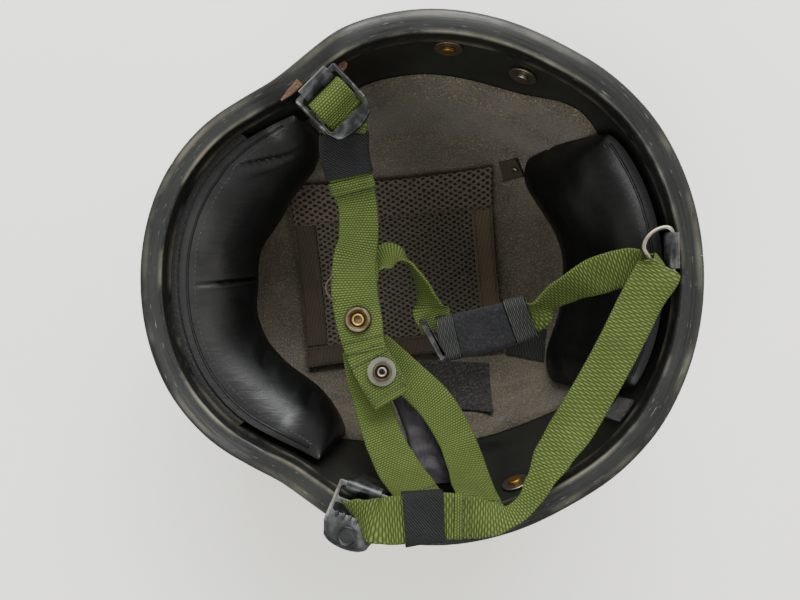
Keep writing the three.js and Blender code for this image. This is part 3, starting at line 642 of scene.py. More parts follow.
def blank(name):
    """A new material with an empty tree."""
    made = bpy.data.materials.new(name)
    made.use_nodes = True
    made.node_tree.nodes.clear()
    return made, made.node_tree


def shaded(tree, inputs):
    """Ends a material's tree in one principled shader."""
    body = put(tree, "ShaderNodeBsdfPrincipled", inputs)
    put(tree, "ShaderNodeOutputMaterial", {"Surface": body})


def per_mm(size):
    """Scale of a texture on metres whose grain is size mm."""
    return 1000.0 / size


def painted_aramid(name):
    """Aramid laminate under sprayed black paint: satin, with a fine orange peel and dull rubbed patches."""
    made, tree = blank(name)
    place = put(tree, "ShaderNodeTexCoord").outputs["Object"]
    peel = put(tree, "ShaderNodeTexNoise", {"Vector": place, "Scale": per_mm(2.2), "Detail": 3.0})
    patches = put(tree, "ShaderNodeTexNoise", {"Vector": place, "Scale": per_mm(34), "Detail": 5.0})
    tone = put(
        tree, "ShaderNodeMix", {0: patches, 6: shade("#111211"), 7: tinted("shell_paint")}, data_type="RGBA"
    )
    gloss = put(
        tree,
        "ShaderNodeMapRange",
        {"Value": patches, "From Min": 0.3, "From Max": 0.7, "To Min": 0.3, "To Max": 0.5},
    )
    bump = put(tree, "ShaderNodeBump", {"Height": peel, "Strength": 0.25, "Distance": 0.0003})
    shaded(tree, {"Base Color": tone, "Roughness": gloss, "Normal": bump, "IOR": 1.5})
    return made


def extruded_rubber(name):
    """Extruded black rubber channel: drawn lengthwise, so its gloss and its scuffs run along the rim."""
    made, tree = blank(name)
    uv = put(tree, "ShaderNodeTexCoord").outputs["UV"]
    drawn = put(tree, "ShaderNodeMapping", {"Vector": uv, "Scale": (per_mm(0.9), per_mm(34), 1.0)})
    streak = put(tree, "ShaderNodeTexNoise", {"Vector": drawn, "Scale": 1.0, "Detail": 4.0})
    scratch_place = put(
        tree,
        "ShaderNodeMapping",
        {"Vector": uv, "Rotation": (0.0, 0.0, 0.35), "Scale": (per_mm(0.7), per_mm(9), 1.0)},
    )
    scratch = put(tree, "ShaderNodeTexNoise", {"Vector": scratch_place, "Scale": 1.0, "Detail": 2.0})
    scuffed = put(
        tree, "ShaderNodeMapRange", {"Value": scratch, "From Min": 0.66, "From Max": 0.76, "To Max": 0.7}
    )
    place = put(tree, "ShaderNodeTexCoord").outputs["Object"]
    dust = put(tree, "ShaderNodeTexNoise", {"Vector": place, "Scale": per_mm(26), "Detail": 6.0})
    dusty = put(
        tree, "ShaderNodeMix", {0: dust, 6: shade("#040505"), 7: shade("#222421")}, data_type="RGBA"
    )
    tone = put(tree, "ShaderNodeMix", {0: scuffed, 6: dusty, 7: shade("#6b706d")}, data_type="RGBA")
    lip = put(tree, "ShaderNodeAttribute", attribute_name="wear_and_highlight")
    broken = put(
        tree, "ShaderNodeMapRange", {"Value": dust, "From Min": 0.42, "From Max": 0.66, "To Max": 0.6}
    )
    bared = put(tree, "ShaderNodeMath", {0: lip.outputs["Fac"], 1: broken}, operation="MULTIPLY")
    tone = put(tree, "ShaderNodeMix", {0: bared, 6: tone, 7: shade("#7f7a69")}, data_type="RGBA")
    gloss = put(
        tree,
        "ShaderNodeMapRange",
        {"Value": streak, "From Min": 0.3, "From Max": 0.7, "To Min": 0.26, "To Max": 0.62},
    )
    bump = put(tree, "ShaderNodeBump", {"Height": streak, "Strength": 0.3, "Distance": 0.0003})
    inputs = {
        "Base Color": tone,
        "Roughness": gloss,
        "Normal": bump,
        "IOR": 1.52,
        "Specular IOR Level": 0.3,
    }
    shaded(tree, inputs)
    return made


def loop_felt(name, dark, mid, light, grain, sheen):
    """Brushed loop felt: short tangled pile, matt, mottled by lint and wear."""
    made, tree = blank(name)
    place = put(tree, "ShaderNodeTexCoord").outputs["Object"]
    # the true pile is 0.2 mm thick, drawn coarser so that it shows
    fibre = put(
        tree,
        "ShaderNodeTexNoise",
        {"Vector": place, "Scale": per_mm(grain), "Detail": 5.0, "Roughness": 0.7},
    )
    tuft = put(tree, "ShaderNodeTexVoronoi", {"Vector": place, "Scale": per_mm(grain * 1.8)})
    blotch = put(tree, "ShaderNodeTexNoise", {"Vector": place, "Scale": per_mm(22), "Detail": 4.0})
    ground = put(tree, "ShaderNodeMix", {0: blotch, 6: shade(dark), 7: tinted(mid)}, data_type="RGBA")
    lint = put(
        tree, "ShaderNodeMapRange", {"Value": fibre, "From Min": 0.5, "From Max": 0.78, "To Max": 0.75}
    )
    tone = put(tree, "ShaderNodeMix", {0: lint, 6: ground, 7: shade(light)}, data_type="RGBA")
    pile = put(tree, "ShaderNodeMath", {0: fibre, 1: tuft}, operation="SUBTRACT")
    bump = put(tree, "ShaderNodeBump", {"Height": pile, "Strength": 0.8, "Distance": 0.0006})
    inputs = {
        "Base Color": tone,
        "Normal": bump,
        "IOR": 1.45,
        "Roughness": 0.95,
        "Sheen Weight": sheen,
        "Sheen Roughness": 0.6,
    }
    shaded(tree, inputs)
    return made


def smooth_leather(name):
    """Drum-dyed black leather: fine pebbled grain, soft gloss, greyer where it is rubbed and where a
    highlight is painted.
    """
    made, tree = blank(name)
    place = put(tree, "ShaderNodeTexCoord").outputs["Object"]
    pebble = put(
        tree, "ShaderNodeTexVoronoi", {"Vector": place, "Scale": per_mm(1.1)}, feature="DISTANCE_TO_EDGE"
    )
    pull = put(tree, "ShaderNodeMapping", {"Vector": place, "Scale": (per_mm(16), per_mm(5), per_mm(11))})
    wrinkle = put(
        tree, "ShaderNodeTexNoise", {"Vector": pull, "Scale": 1.0, "Detail": 3.0, "Distortion": 0.4}
    )
    rubbed_and_highlight = put(tree, "ShaderNodeTexNoise", {"Vector": place, "Scale": per_mm(28), "Detail": 5.0})
    tone = put(
        tree, "ShaderNodeMix", {0: rubbed_and_highlight, 6: shade("#040505"), 7: tinted("pad_leather")}, data_type="RGBA"
    )
    # greyer at the cushions' marked spots: partly rubbed wear, partly a painted highlight where they catch
    # the light
    worn = put(tree, "ShaderNodeAttribute", attribute_name="wear_and_highlight")
    patchy = put(
        tree,
        "ShaderNodeMapRange",
        {"Value": rubbed_and_highlight, "From Min": 0.3, "From Max": 0.6, "To Min": 0.1, "To Max": 0.75},
    )
    bared = put(tree, "ShaderNodeMath", {0: worn.outputs["Fac"], 1: patchy}, operation="MULTIPLY")
    tone = put(tree, "ShaderNodeMix", {0: bared, 6: tone, 7: shade("#272825")}, data_type="RGBA")
    gloss = put(
        tree,
        "ShaderNodeMapRange",
        {"Value": rubbed_and_highlight, "From Min": 0.3, "From Max": 0.7, "To Min": 0.34, "To Max": 0.5},
    )
    fine = put(tree, "ShaderNodeBump", {"Height": pebble, "Strength": 0.18, "Distance": 0.0002})
    bump = put(
        tree, "ShaderNodeBump", {"Height": wrinkle, "Strength": 0.22, "Distance": 0.0012, "Normal": fine}
    )
    inputs = {"Base Color": tone, "Roughness": gloss, "Normal": bump, "IOR": 1.5, "Specular IOR Level": 0.3}
    shaded(tree, inputs)
    return made


def spacer_mesh(name, pitch, yarn, light, hole):
    """Knitted polyester spacer mesh: rows of small oval holes between stout yarn cells, brick by brick."""
    made, tree = blank(name)
    uv = put(tree, "ShaderNodeTexCoord").outputs["UV"]
    loose = put(tree, "ShaderNodeTexNoise", {"Vector": uv, "Scale": per_mm(4), "Detail": 2.0})
    pulled = put(
        tree,
        "ShaderNodeVectorMath",
        {0: loose.outputs["Color"], 1: (0.0022, 0.0022, 0.0), 2: uv},
        operation="MULTIPLY_ADD",
    )
    grid = put(
        tree, "ShaderNodeMapping", {"Vector": pulled, "Scale": (per_mm(pitch), per_mm(pitch * 0.82), 1.0)}
    )
    parts = put(tree, "ShaderNodeSeparateXYZ", {0: grid})
    line = put(tree, "ShaderNodeMath", {0: parts.outputs[1]}, operation="FLOOR")
    shift = put(tree, "ShaderNodeMath", {0: line, 1: 0.5}, operation="MULTIPLY")
    moved = put(tree, "ShaderNodeMath", {0: parts.outputs[0], 1: shift}, operation="ADD")
    across = put(tree, "ShaderNodeMath", {0: moved}, operation="FRACT")
    upward = put(tree, "ShaderNodeMath", {0: parts.outputs[1]}, operation="FRACT")
    middle = put(tree, "ShaderNodeCombineXYZ", {0: across, 1: upward})
    offset = put(tree, "ShaderNodeVectorMath", {0: middle, 1: (0.5, 0.5, 0.0)}, operation="SUBTRACT")
    oval = put(tree, "ShaderNodeVectorMath", {0: offset, 1: (1.5, 0.85, 1.0)}, operation="MULTIPLY")
    away = put(tree, "ShaderNodeVectorMath", {0: oval}, operation="LENGTH")
    open_part = put(tree, "ShaderNodeMapRange", {"Value": away, "From Min": 0.27, "From Max": 0.42})
    place = put(tree, "ShaderNodeTexCoord").outputs["Object"]
    lint = put(tree, "ShaderNodeTexNoise", {"Vector": place, "Scale": per_mm(1.0), "Detail": 4.0})
    yarns = put(tree, "ShaderNodeMix", {0: lint, 6: shade(yarn), 7: shade(light)}, data_type="RGBA")
    # the holes take a near-black colour: painted shade in the depth of the mesh
    tone = put(tree, "ShaderNodeMix", {0: open_part, 6: shade(hole), 7: yarns}, data_type="RGBA")
    bump = put(tree, "ShaderNodeBump", {"Height": open_part, "Strength": 0.9, "Distance": 0.0012})
    shaded(tree, {"Base Color": tone, "Normal": bump, "IOR": 1.45, "Roughness": 0.85})
    return made


def ribbed_web(name, rib, yarn, dark, mid, light, slant, strength, step_share):
    """Woven narrow tape: ribs across it, crossed by columns of yarn that step from rib to rib."""
    made, tree = blank(name)
    uv = put(tree, "ShaderNodeTexCoord").outputs["UV"]
    turned_uv = put(tree, "ShaderNodeMapping", {"Vector": uv, "Rotation": (0.0, 0.0, slant)})
    loose = put(tree, "ShaderNodeTexNoise", {"Vector": uv, "Scale": per_mm(5), "Detail": 2.0})
    pulled = put(
        tree,
        "ShaderNodeVectorMath",
        {0: loose.outputs["Color"], 1: (0.0004, 0.0004, 0.0), 2: turned_uv},
        operation="MULTIPLY_ADD",
    )
    parts = put(tree, "ShaderNodeSeparateXYZ", {0: pulled})
    ways = put(tree, "ShaderNodeMath", {0: parts.outputs[1], 1: per_mm(rib)}, operation="MULTIPLY")
    phase = put(tree, "ShaderNodeMath", {0: ways, 1: math.pi}, operation="MULTIPLY")
    wave = put(tree, "ShaderNodeMath", {0: phase}, operation="SINE")
    ridge = put(tree, "ShaderNodeMath", {0: wave}, operation="ABSOLUTE")
    count = put(tree, "ShaderNodeMath", {0: ways}, operation="FLOOR")
    step = put(tree, "ShaderNodeMath", {0: count, 1: math.pi}, operation="MULTIPLY")
    columns = put(
        tree,
        "ShaderNodeMath",
        {0: parts.outputs[0], 1: 2 * math.pi * per_mm(yarn), 2: step},
        operation="MULTIPLY_ADD",
    )
    column = put(tree, "ShaderNodeMath", {0: columns}, operation="SINE")
    crossing = put(
        tree, "ShaderNodeMath", {0: column, 1: step_share, 2: 1 - step_share}, operation="MULTIPLY_ADD"
    )
    weave = put(tree, "ShaderNodeMath", {0: ridge, 1: crossing}, operation="MULTIPLY")
    place = put(tree, "ShaderNodeTexCoord").outputs["Object"]
    fuzz = put(tree, "ShaderNodeTexNoise", {"Vector": place, "Scale": per_mm(0.9), "Detail": 4.0})
    worn = put(tree, "ShaderNodeTexNoise", {"Vector": place, "Scale": per_mm(14), "Detail": 4.0})
    # the ribs' tops are painted lighter and the grooves between them darker: painted light and shade on the
    # weave
    lit = put(tree, "ShaderNodeMapRange", {"Value": weave, "From Min": 0.15, "From Max": 0.95})
    faded = put(tree, "ShaderNodeMix", {0: worn, 6: tinted(mid), 7: shade(light)}, data_type="RGBA")
    fuzzy = put(tree, "ShaderNodeMix", {0: fuzz, 6: tinted(mid), 7: faded}, data_type="RGBA")
    tone = put(tree, "ShaderNodeMix", {0: lit, 6: shade(dark), 7: fuzzy}, data_type="RGBA")
    height = put(tree, "ShaderNodeMath", {0: fuzz, 1: 0.25, 2: weave}, operation="MULTIPLY_ADD")
    bump = put(tree, "ShaderNodeBump", {"Height": height, "Strength": strength, "Distance": 0.0004})
    inputs = {
        "Base Color": tone,
        "Normal": bump,
        "IOR": 1.45,
        "Roughness": 0.85,
        "Specular IOR Level": 0.25,
    }
    shaded(tree, inputs)
    return made


def soft_vinyl(name):
    """Coated cloth: soft grey-black film with broad creases and a low gloss."""
    made, tree = blank(name)
    place = put(tree, "ShaderNodeTexCoord").outputs["Object"]
    pull = put(tree, "ShaderNodeMapping", {"Vector": place, "Scale": (per_mm(6), per_mm(14), per_mm(9))})
    crease = put(
        tree, "ShaderNodeTexNoise", {"Vector": pull, "Scale": 1.0, "Detail": 3.0, "Distortion": 1.2}
    )
    # darker in the hollows of the creases: painted shade
    tone = put(
        tree, "ShaderNodeMix", {0: crease, 6: shade("#151214"), 7: tinted("lining_vinyl")}, data_type="RGBA"
    )
    bump = put(tree, "ShaderNodeBump", {"Height": crease, "Strength": 0.5, "Distance": 0.0016})
    inputs = {"Base Color": tone, "Normal": bump, "IOR": 1.5, "Roughness": 0.58, "Specular IOR Level": 0.3}
    shaded(tree, inputs)
    return made


def worn_metal(name, base, worn, rough, metallic):
    """Plated, enamelled or bare metal: fine grain, rubbed patches that are brighter or duller."""
    made, tree = blank(name)
    place = put(tree, "ShaderNodeTexCoord").outputs["Object"]
    rub = put(tree, "ShaderNodeTexNoise", {"Vector": place, "Scale": per_mm(6), "Detail": 6.0})
    grit = put(tree, "ShaderNodeTexNoise", {"Vector": place, "Scale": per_mm(1.6), "Detail": 3.0})
    bare = put(tree, "ShaderNodeMapRange", {"Value": rub, "From Min": 0.45, "From Max": 0.68})
    tone = put(tree, "ShaderNodeMix", {0: bare, 6: shade(base), 7: shade(worn)}, data_type="RGBA")
    gloss = put(
        tree,
        "ShaderNodeMapRange",
        {"Value": rub, "From Min": 0.3, "From Max": 0.7, "To Min": rough, "To Max": rough + 0.18},
    )
    bump = put(tree, "ShaderNodeBump", {"Height": grit, "Strength": 0.2, "Distance": 0.0002})
    shaded(tree, {"Base Color": tone, "Roughness": gloss, "Normal": bump, "Metallic": metallic})
    return made


def pale_paper(name):
    """Pale paper sweep."""
    made, tree = blank(name)
    place = put(tree, "ShaderNodeTexCoord").outputs["Object"]
    tint = put(tree, "ShaderNodeTexNoise", {"Vector": place, "Scale": 1.4, "Detail": 2.0})
    tone = put(tree, "ShaderNodeMix", {0: tint, 6: shade("#f2f1e8"), 7: shade("#f9f8f0")}, data_type="RGBA")
    # a little glow stands for the light that the sweep gathers from the room
    inputs = {
        "Base Color": tone,
        "Roughness": 0.9,
        "Emission Color": shade("#fdfcf3"),
        "Emission Strength": 0.11,
    }
    shaded(tree, inputs)
    return made


# Each finish: what makes it, and the colours and sizes that it takes
FINISHES = {
    "painted_aramid": (painted_aramid,),
    "extruded_rubber": (extruded_rubber,),
    "smooth_leather": (smooth_leather,),
    "soft_vinyl": (soft_vinyl,),
    "pale_paper": (pale_paper,),
    "loop_felt": (loop_felt, "#27231d", "liner_felt", "#a1967f", 0.9, 0.12),
    "hook_pile": (loop_felt, "#090808", "#1a1715", "#6a625a", 1.3, 0.12),
    "dark_pile": (loop_felt, "#050505", "#0f0e0d", "#35302b", 1.0, 0.12),
    "cotton_velour": (loop_felt, "#020202", "#09090c", "#303038", 1.3, 0.03),
    "tan_leather": (loop_felt, "#2e1d11", "#5b3e26", "#8a6844", 1.4, 0.12),
    "brown_thread": (loop_felt, "#241713", "#4c342a", "#7c6252", 0.6, 0.12),
    "green_thread": (loop_felt, "#1a240e", "#303e18", "#505d2c", 0.6, 0.12),
    "black_thread": (loop_felt, "#0c0c0c", "#262424", "#5c5652", 0.6, 0.12),
    "knitted_spacer": (spacer_mesh, 3.3, "#25211a", "#5d5648", "#030303"),
    "flap_mesh": (spacer_mesh, 3.5, "#2c261f", "#655b4c", "#0b0908"),
    "binding_tape": (ribbed_web, 0.9, 0.8, "#1b1713", "#40382e", "#6a5f50", 0.0, 0.5, 0.2),
    "faded_tape": (ribbed_web, 0.9, 0.8, "#2b251c", "#5c5140", "#85775f", 0.0, 0.5, 0.2),
    "olive_webbing": (ribbed_web, 1.2, 1.5, "#26310f", "webbing", "#7b8846", 0.0, 0.7, 0.3),
    "black_elastic": (ribbed_web, 1.05, 6.0, "#010101", "elastic", "#3a3c3b", 0.66, 0.9, 0.1),
    "ribbed_elastic": (ribbed_web, 1.0, 6.0, "#0d0e0e", "#2c2e2c", "#555751", 0.0, 0.9, 0.2),
    "enamelled_steel": (worn_metal, "#141516", "#3f4141", 0.24, 0.4),
    # bare steel for the buckles' arm edges, lighter than the enamel: partly rubbed wear, partly a painted
    # highlight
    "bared_steel": (worn_metal, "#3a3b3a", "#8f8b80", 0.3, 0.8),
    "plated_steel": (worn_metal, "#8c8678", "#6d614e", 0.3, 0.95),
    "tarnished_brass": (worn_metal, "#b08d45", "#6b5630", 0.3, 0.95),
    "dark_bronze": (worn_metal, "#6a5d4b", "#3b3228", 0.3, 0.9),
    "pale_nylon": (worn_metal, "#5a5c4f", "#4a4a40", 0.5, 0.0),
}


def finish(name):
    """The finish of that name, made when it is first asked for."""
    make, *values = FINISHES[name]
    return bpy.data.materials.get(name) or make(name, *values)


# What each piece is made of: its finish and the record's slot for it, then the solid that it stands for
MADE_OF = {
    ("painted_aramid", "shell_paint"): {"helmet_shell": "shell"},
    ("extruded_rubber", "trim_rubber"): {
        "rim_trim_left": "edge_trim_left",
        "rim_trim_right": "edge_trim_right",
    },
    ("loop_felt", "liner_felt"): {"felt_liner": "liner"},
    ("smooth_leather", "pad_leather"): {
        "brow_cushion": "brow_pad",
        "nape_cushion": "nape_pad",
        "brow_seam_piping": None,
        "nape_seam_piping": None,
    },
    ("knitted_spacer", "spacer_mesh"): {"crown_cushion": "crown_pad"},
    ("binding_tape", "black_cloth"): {
        "crown_cushion_left": "crown_pad_left_binding",
        "crown_cushion_bottom": "crown_pad_bottom_binding",
        "liner_snap_tab": "snap_tab",
    },
    ("faded_tape", "black_cloth"): {"crown_cushion_right": "crown_pad_right_binding"},
    ("flap_mesh", "spacer_mesh"): {"crown_cushion_top": "crown_pad_top_flap"},
    ("hook_pile", "hook_tape"): {"liner_loop_patch": "loop_patch", "rear_hook_square": "rear_hook_patch"},
    ("ribbed_elastic", "elastic"): {
        "liner_ribbed_tape": "ribbed_tape",
        "sleeve_cuff_right": "sleeve_right_cuff",
        "sleeve_cuff_left": "sleeve_left_cuff",
    },
    ("dark_pile", "hook_tape"): {"brow_edge_hooks": "brow_hook_strip"},
    ("olive_webbing", "green_webbing"): {
        "left_web": "left_strap",
        "rear_web": "rear_strap",
        "arch_web": "arch_strap",
        "chin_web_left": "chin_strap_left",
        "chin_web_right": "chin_strap_right",
        "fold_junction": None,
        "fold_under_keeper": None,
        "fold_end_tab": None,
        "fold_rear_hem": None,
        "fold_left_seam": None,
    },
    ("soft_vinyl", "vinyl"): {"chin_lining_strip": "chin_lining"},
    ("brown_thread", "green_webbing"): {"loose_thread": None},
    ("tan_leather", "pad_leather"): {"shim_front": None, "shim_rear": None, "shim_middle": None},
    ("black_thread", "pad_leather"): {"brow_seam": None, "nape_seam": None},
    ("black_thread", "black_cloth"): {"crown_seams": None},
    ("brown_thread", "black_cloth"): {"crown_bar_tacks": None},
    ("green_thread", "green_webbing"): {"strap_stitches": None},
    ("black_thread", "hook_tape"): {"loop_patch_seam": None},
    ("black_elastic", "elastic"): {"keeper_left": "left_keeper", "keeper_right": "right_keeper"},
    ("cotton_velour", "velour"): {"sleeve_velour": "velour_sleeve"},
    ("enamelled_steel", "black_steel"): {
        "buckle_left": "left_buckle",
        "buckle_right": "right_buckle",
        "rolled_clip_left": "left_clip",
        "rolled_clip_right": "right_clip",
        "rolled_clip_nape": "ring_clip",
        "press_stud_cup": None,
        "web_slider": "slider",
    },
    # lighter wires on the buckles' arms: partly rubbed bare metal, partly a painted highlight
    ("bared_steel", "black_steel"): {"buckle_left_bare_edges_highlight": None, "buckle_right_bare_edges_highlight": None},
    ("plated_steel", "bright_steel"): {
        "nape_wire_ring": "nape_ring",
        "press_stud_core": None,
        "tab_press_stud": "tab_snap",
        "bolt_left_rear_screw": "left_rear_screw",
        "washer_left_ear_screw": "left_ear_screw_washer",
        "washer_left_rear_screw": "left_rear_screw_washer",
        "washer_right_rear_screw": "right_rear_screw_washer",
    },
    ("dark_bronze", "aged_brass"): {
        "press_socket": "snap_socket",
        "press_socket_cup": None,
        "press_stud": "snap_stud",
    },
    ("tarnished_brass", "aged_brass"): {
        "press_socket_eyelet": None,
        "bolt_left_ear_screw": "left_ear_screw",
        "bolt_right_rear_screw": "right_rear_screw",
    },
    ("pale_nylon", "bright_steel"): {"press_stud_washer": "stud_washer"},
}
PIECES = {name: (*made_of, node) for made_of, names in MADE_OF.items() for name, node in names.items()}


# Shell, trim and liner


def row_depth(share, inset, edge):
    """The depth of a bowl's row, closer to its neighbours near the crown."""
    reachable = CROWN - edge - inset
    eased = 0.5 * (1 - math.cos(share * math.pi / 2)) + 0.5 * share
    return CROWN - inset - reachable * eased


def bowl_rings(inset_at, edge_at, turns, rows, crown_inset):
    """Rings of a bowl-shaped skin from the crown to its edge."""
    rings = []
    for share in FLAT_ROWS:
        rings.append([polar(turn, FLAT_SPOT * share, CROWN - crown_inset) for turn in turns])
    for k in range(1, rows + 1):
        share = 0.03 + 0.97 * (k / rows)
        ring = []
        for turn in turns:
            depth = row_depth(share, crown_inset, edge_at(turn))
            ring.append(on_wall(turn, depth, inset_at(turn, depth)))
        rings.append(ring)
    return rings


def turns_round(count):
    """Even turns once round the axis."""
    return [360 * k / count for k in range(count)]


def build_shell():
    """Two skins that meet at the rim."""
    turns = turns_round(SHELL_SIDES)
    outer = bowl_rings(lambda turn, depth: 0.0, edge_depth, turns, SHELL_ROWS, 0.0)
    inner = bowl_rings(lambda turn, depth: WALL, edge_depth, turns, SHELL_ROWS, WALL)
    tips = (Vector((0, CROWN, 0)), Vector((0, CROWN - WALL, 0)))
    piece("helmet_shell", loft(outer + inner[::-1], tips=tips), SHARP_ON_SOFT)


def trim_ring(turn):
    """Section of the rubber channel, its outer corners rounded."""
    edge = edge_depth(turn)

    def outside(step, more):
        return polar(turn, wall_reach(turn, edge + step, 0) + more, edge + step)

    def inside(step, more):
        return polar(turn, wall_reach(turn, edge + step, WALL) - more, edge + step)

    out_face = edge_reach(turn) + GAP + TRIM_WALL
    in_face = edge_reach(turn) - WALL - GAP - TRIM_WALL
    middle = (out_face + in_face) / 2
    half = (out_face - in_face) / 2
    ring = [outside(TRIM_LEG, GAP)]
    for k in range(4):
        angle = math.pi / 2 * k / 3
        step = TRIM_LEG - TRIM_CORNER * (1 - math.cos(angle))
        ring.append(outside(step, GAP + TRIM_WALL * math.sin(angle)))
    for k in range(1, 4):
        ring.append(outside((TRIM_LEG - 1) * (1 - k / 4), GAP + TRIM_WALL))
    for k in range(LIP_STEPS + 1):
        angle = math.pi * k / LIP_STEPS
        rise = math.sin(angle) ** 0.8
        bead = BEAD_HIGH * math.exp(-(((k - BEAD_STEP) / BEAD_WIDE) ** 2))
        ring.append(polar(turn, middle + half * math.cos(angle), edge - GAP - (TRIM_LIP + bead) * rise))
    for k in range(1, 4):
        ring.append(inside((TRIM_LEG - 1) * k / 4, GAP + TRIM_WALL))
    for k in range(4):
        angle = math.pi / 2 * (1 - k / 3)
        step = TRIM_LEG - TRIM_CORNER * (1 - math.cos(angle))
        ring.append(inside(step, 0.6 + (TRIM_WALL - 0.4) * math.sin(angle)))
    ring.append(inside(TRIM_LEG / 2, 0.5))
    ring.append(polar(turn, edge_reach(turn) - WALL - GAP, edge - GAP))
    ring.append(polar(turn, edge_reach(turn) + GAP, edge - GAP))
    ring.append(outside(TRIM_LEG / 2, GAP))
    return ring


# How much a point of the trim's section is rubbed, by its place in the section: bead and inner lip
TRIM_RUBBED = {20: 0.4, 21: 1.0, 22: 0.7, 27: 0.5, 28: 1.0, 29: 0.8, 12: 0.35, 13: 0.5, 14: 0.35}
# The turn from one section of the trim to the next, and the point whose path gives its length
TRIM_TURN = 1.25
TRIM_TOP = 12


def build_trim():
    """Two lengths of rubber channel, their ends cut a little rounded."""
    ease = math.degrees(0.03 / TRIM_REACH[0][1])
    for name, start, end in (("left", BROW_SEAM, NAPE_SEAM), ("right", NAPE_SEAM - 360, BROW_SEAM)):
        steps = int((end - start) / TRIM_TURN)
        rings = []
        for k in range(steps + 1):
            turn = mix(start + ease, end - ease, k / steps)
            ring = trim_ring(turn)
            sink = 0.12 * math.exp(-min(turn - start, end - turn) / 0.3)
            centre = sum(ring, Vector()) / len(ring)
            rings.append([point + (centre - point).normalized() * sink for point in ring])
        ring = rings[0]
        us = [0.0]
        for k in range(len(ring)):
            us.append(us[-1] + (ring[k] - ring[(k + 1) % len(ring)]).length)
        vs = [0.0]
        for k in range(1, len(rings)):
            vs.append(vs[-1] + (rings[k][TRIM_TOP] - rings[k - 1][TRIM_TOP]).length)
        skin = loft(rings, us, vs)
        wear_and_highlight = [TRIM_RUBBED.get(k % len(ring), 0.0) for k in range(len(skin[0]))]
        piece("rim_trim_" + name, skin, 50, wear_and_highlight)


def liner_edge(turn):
    """The depth of the liner's edge at a turn."""
    return along(LINER_EDGE, wrapped(turn))


# Pressed ridges of the liner, from plan point to plan point
LINER_RIDGES = [
    ((44.0, -92.0), (84.0, -58.0)),
    ((44.0, -88.0), (98.0, -71.0)),
    ((-45.0, -66.0), (-32.0, -95.0)),
]


def ridge_near(x, z):
    """How strongly a ridge shows at a point of the plan."""
    best = 0.0
    for (ax, az), (bx, bz) in LINER_RIDGES:
        length = math.hypot(bx - ax, bz - az)
        share = min(max(((x - ax) * (bx - ax) + (z - az) * (bz - az)) / length**2, 0.0), 1.0)
        away = math.hypot(x - mix(ax, bx, share), z - mix(az, bz, share))
        best = max(best, math.exp(-((away / RIDGE_WIDE) ** 2)))
    return best


def felt_inset(turn, depth):
    """How far the felt's face lies inside the shell: welt round the disc, ridges, round edge, soft waves."""
    inset = liner_inset(depth)
    disc = along(DISC_EDGE, wrapped(turn))
    welt = DISC_WELT * math.exp(-(((depth - disc) / DISC_WELT_WIDE) ** 2))
    past = DISC_RISE * smooth((depth - disc) / 6)
    at = polar(turn, wall_reach(turn, depth, inset), depth)
    welt = max(welt, RIDGE_HIGH * ridge_near(at.x, at.z))
    rounding = LINER_ROUND * math.exp(-(depth - liner_edge(turn)) / LINER_ROUND)
    soft = 0.5 * noise.noise(Vector((turn / 9, depth / 16, 3.0)))
    return inset + welt + past + soft - rounding


def build_liner():
    """A plain back and a pressed face that meet at the liner's edge."""
    turns = turns_round(LINER_SIDES)
    inmost = LINER_GRIP + LINER_WALL + CROWN_STEP
    outer = bowl_rings(lambda turn, depth: LINER_GRIP, liner_edge, turns, LINER_ROWS, LINER_GRIP)
    inner = bowl_rings(felt_inset, liner_edge, turns, LINER_ROWS, inmost)
    tips = (Vector((0, CROWN - LINER_GRIP, 0)), Vector((0, CROWN - inmost, 0)))
    piece("felt_liner", loft(outer + inner[::-1], tips=tips), SHARP_ON_SOFT)


# Pads


def cushion_place(spec, turn, v):
    """Where a place of a wall cushion lies, by turn and depth, and how full the cushion is at that turn."""
    u = (turn - spec["from"]) / (spec["to"] - spec["from"])
    ends = math.sqrt(max(0.0, 1 - abs(2 * u - 1) ** spec["ends"]))
    depth = mix(edge_depth(turn) + spec["near"] + 6 * (1 - ends), spec["far"] - 16 * (1 - ends), v)
    turn_at = turn + (turn - (spec["from"] + spec["to"]) / 2) * spec["spread"] * v
    return turn_at, depth, ends


def crease_press(creases, turn, v):
    """How much the creases leave of a cushion's height, with a low swell on both sides of each."""
    press = 1.0
    for crease in creases:
        middle = crease["turn"] + crease["slant"] * (v - 0.5)
        reach = smooth((v - crease["start"]) / 0.12) * smooth((crease["end"] - v) / 0.2)
        away = abs(turn - middle)
        press -= reach * crease["deep"] * math.exp(-away / crease["wide"])
        beside = (away - crease["wide"] * 2.6) / crease["wide"]
        press += reach * 0.3 * crease["deep"] * math.exp(-(beside**2))
    return press


def cushion_point(spec, turn, v, lift=0.0):
    """A point of a wall cushion's front, at a turn and a share of the way from its rim side."""
    turn_at, depth, ends = cushion_place(spec, turn, v)
    seed = spec["seed"]
    across = max(0.0, 1 - abs(2 * v - 1) ** 2.1) ** 0.56
    swell = sum(mm * math.exp(-(((turn - middle) / wide) ** 2)) for middle, wide, mm in spec["swell"])
    edge = spec["edge"]
    full = (spec["thick"] + swell - edge) * across * ends * crease_press(spec["creases"], turn, v)
    puckers = 0.18 * math.exp(-v / 0.05) * noise.noise(Vector((turn / 2.6, v * 3, seed)))
    sag = 1.3 * noise.noise(Vector((turn / 16, v * 2.0, seed + 5)))
    folds = 0.3 * noise.noise(Vector((turn / 7 + v * 2, v * 4.5, seed + 9)))
    inside = smooth(v / 0.06) * smooth((1 - v) / 0.05)
    height = edge * (0.45 + 0.55 * ends) + full + ends * puckers + inside * ends * (sag + folds) + lift
    return on_wall(turn_at, depth, back_inset(depth) + height)


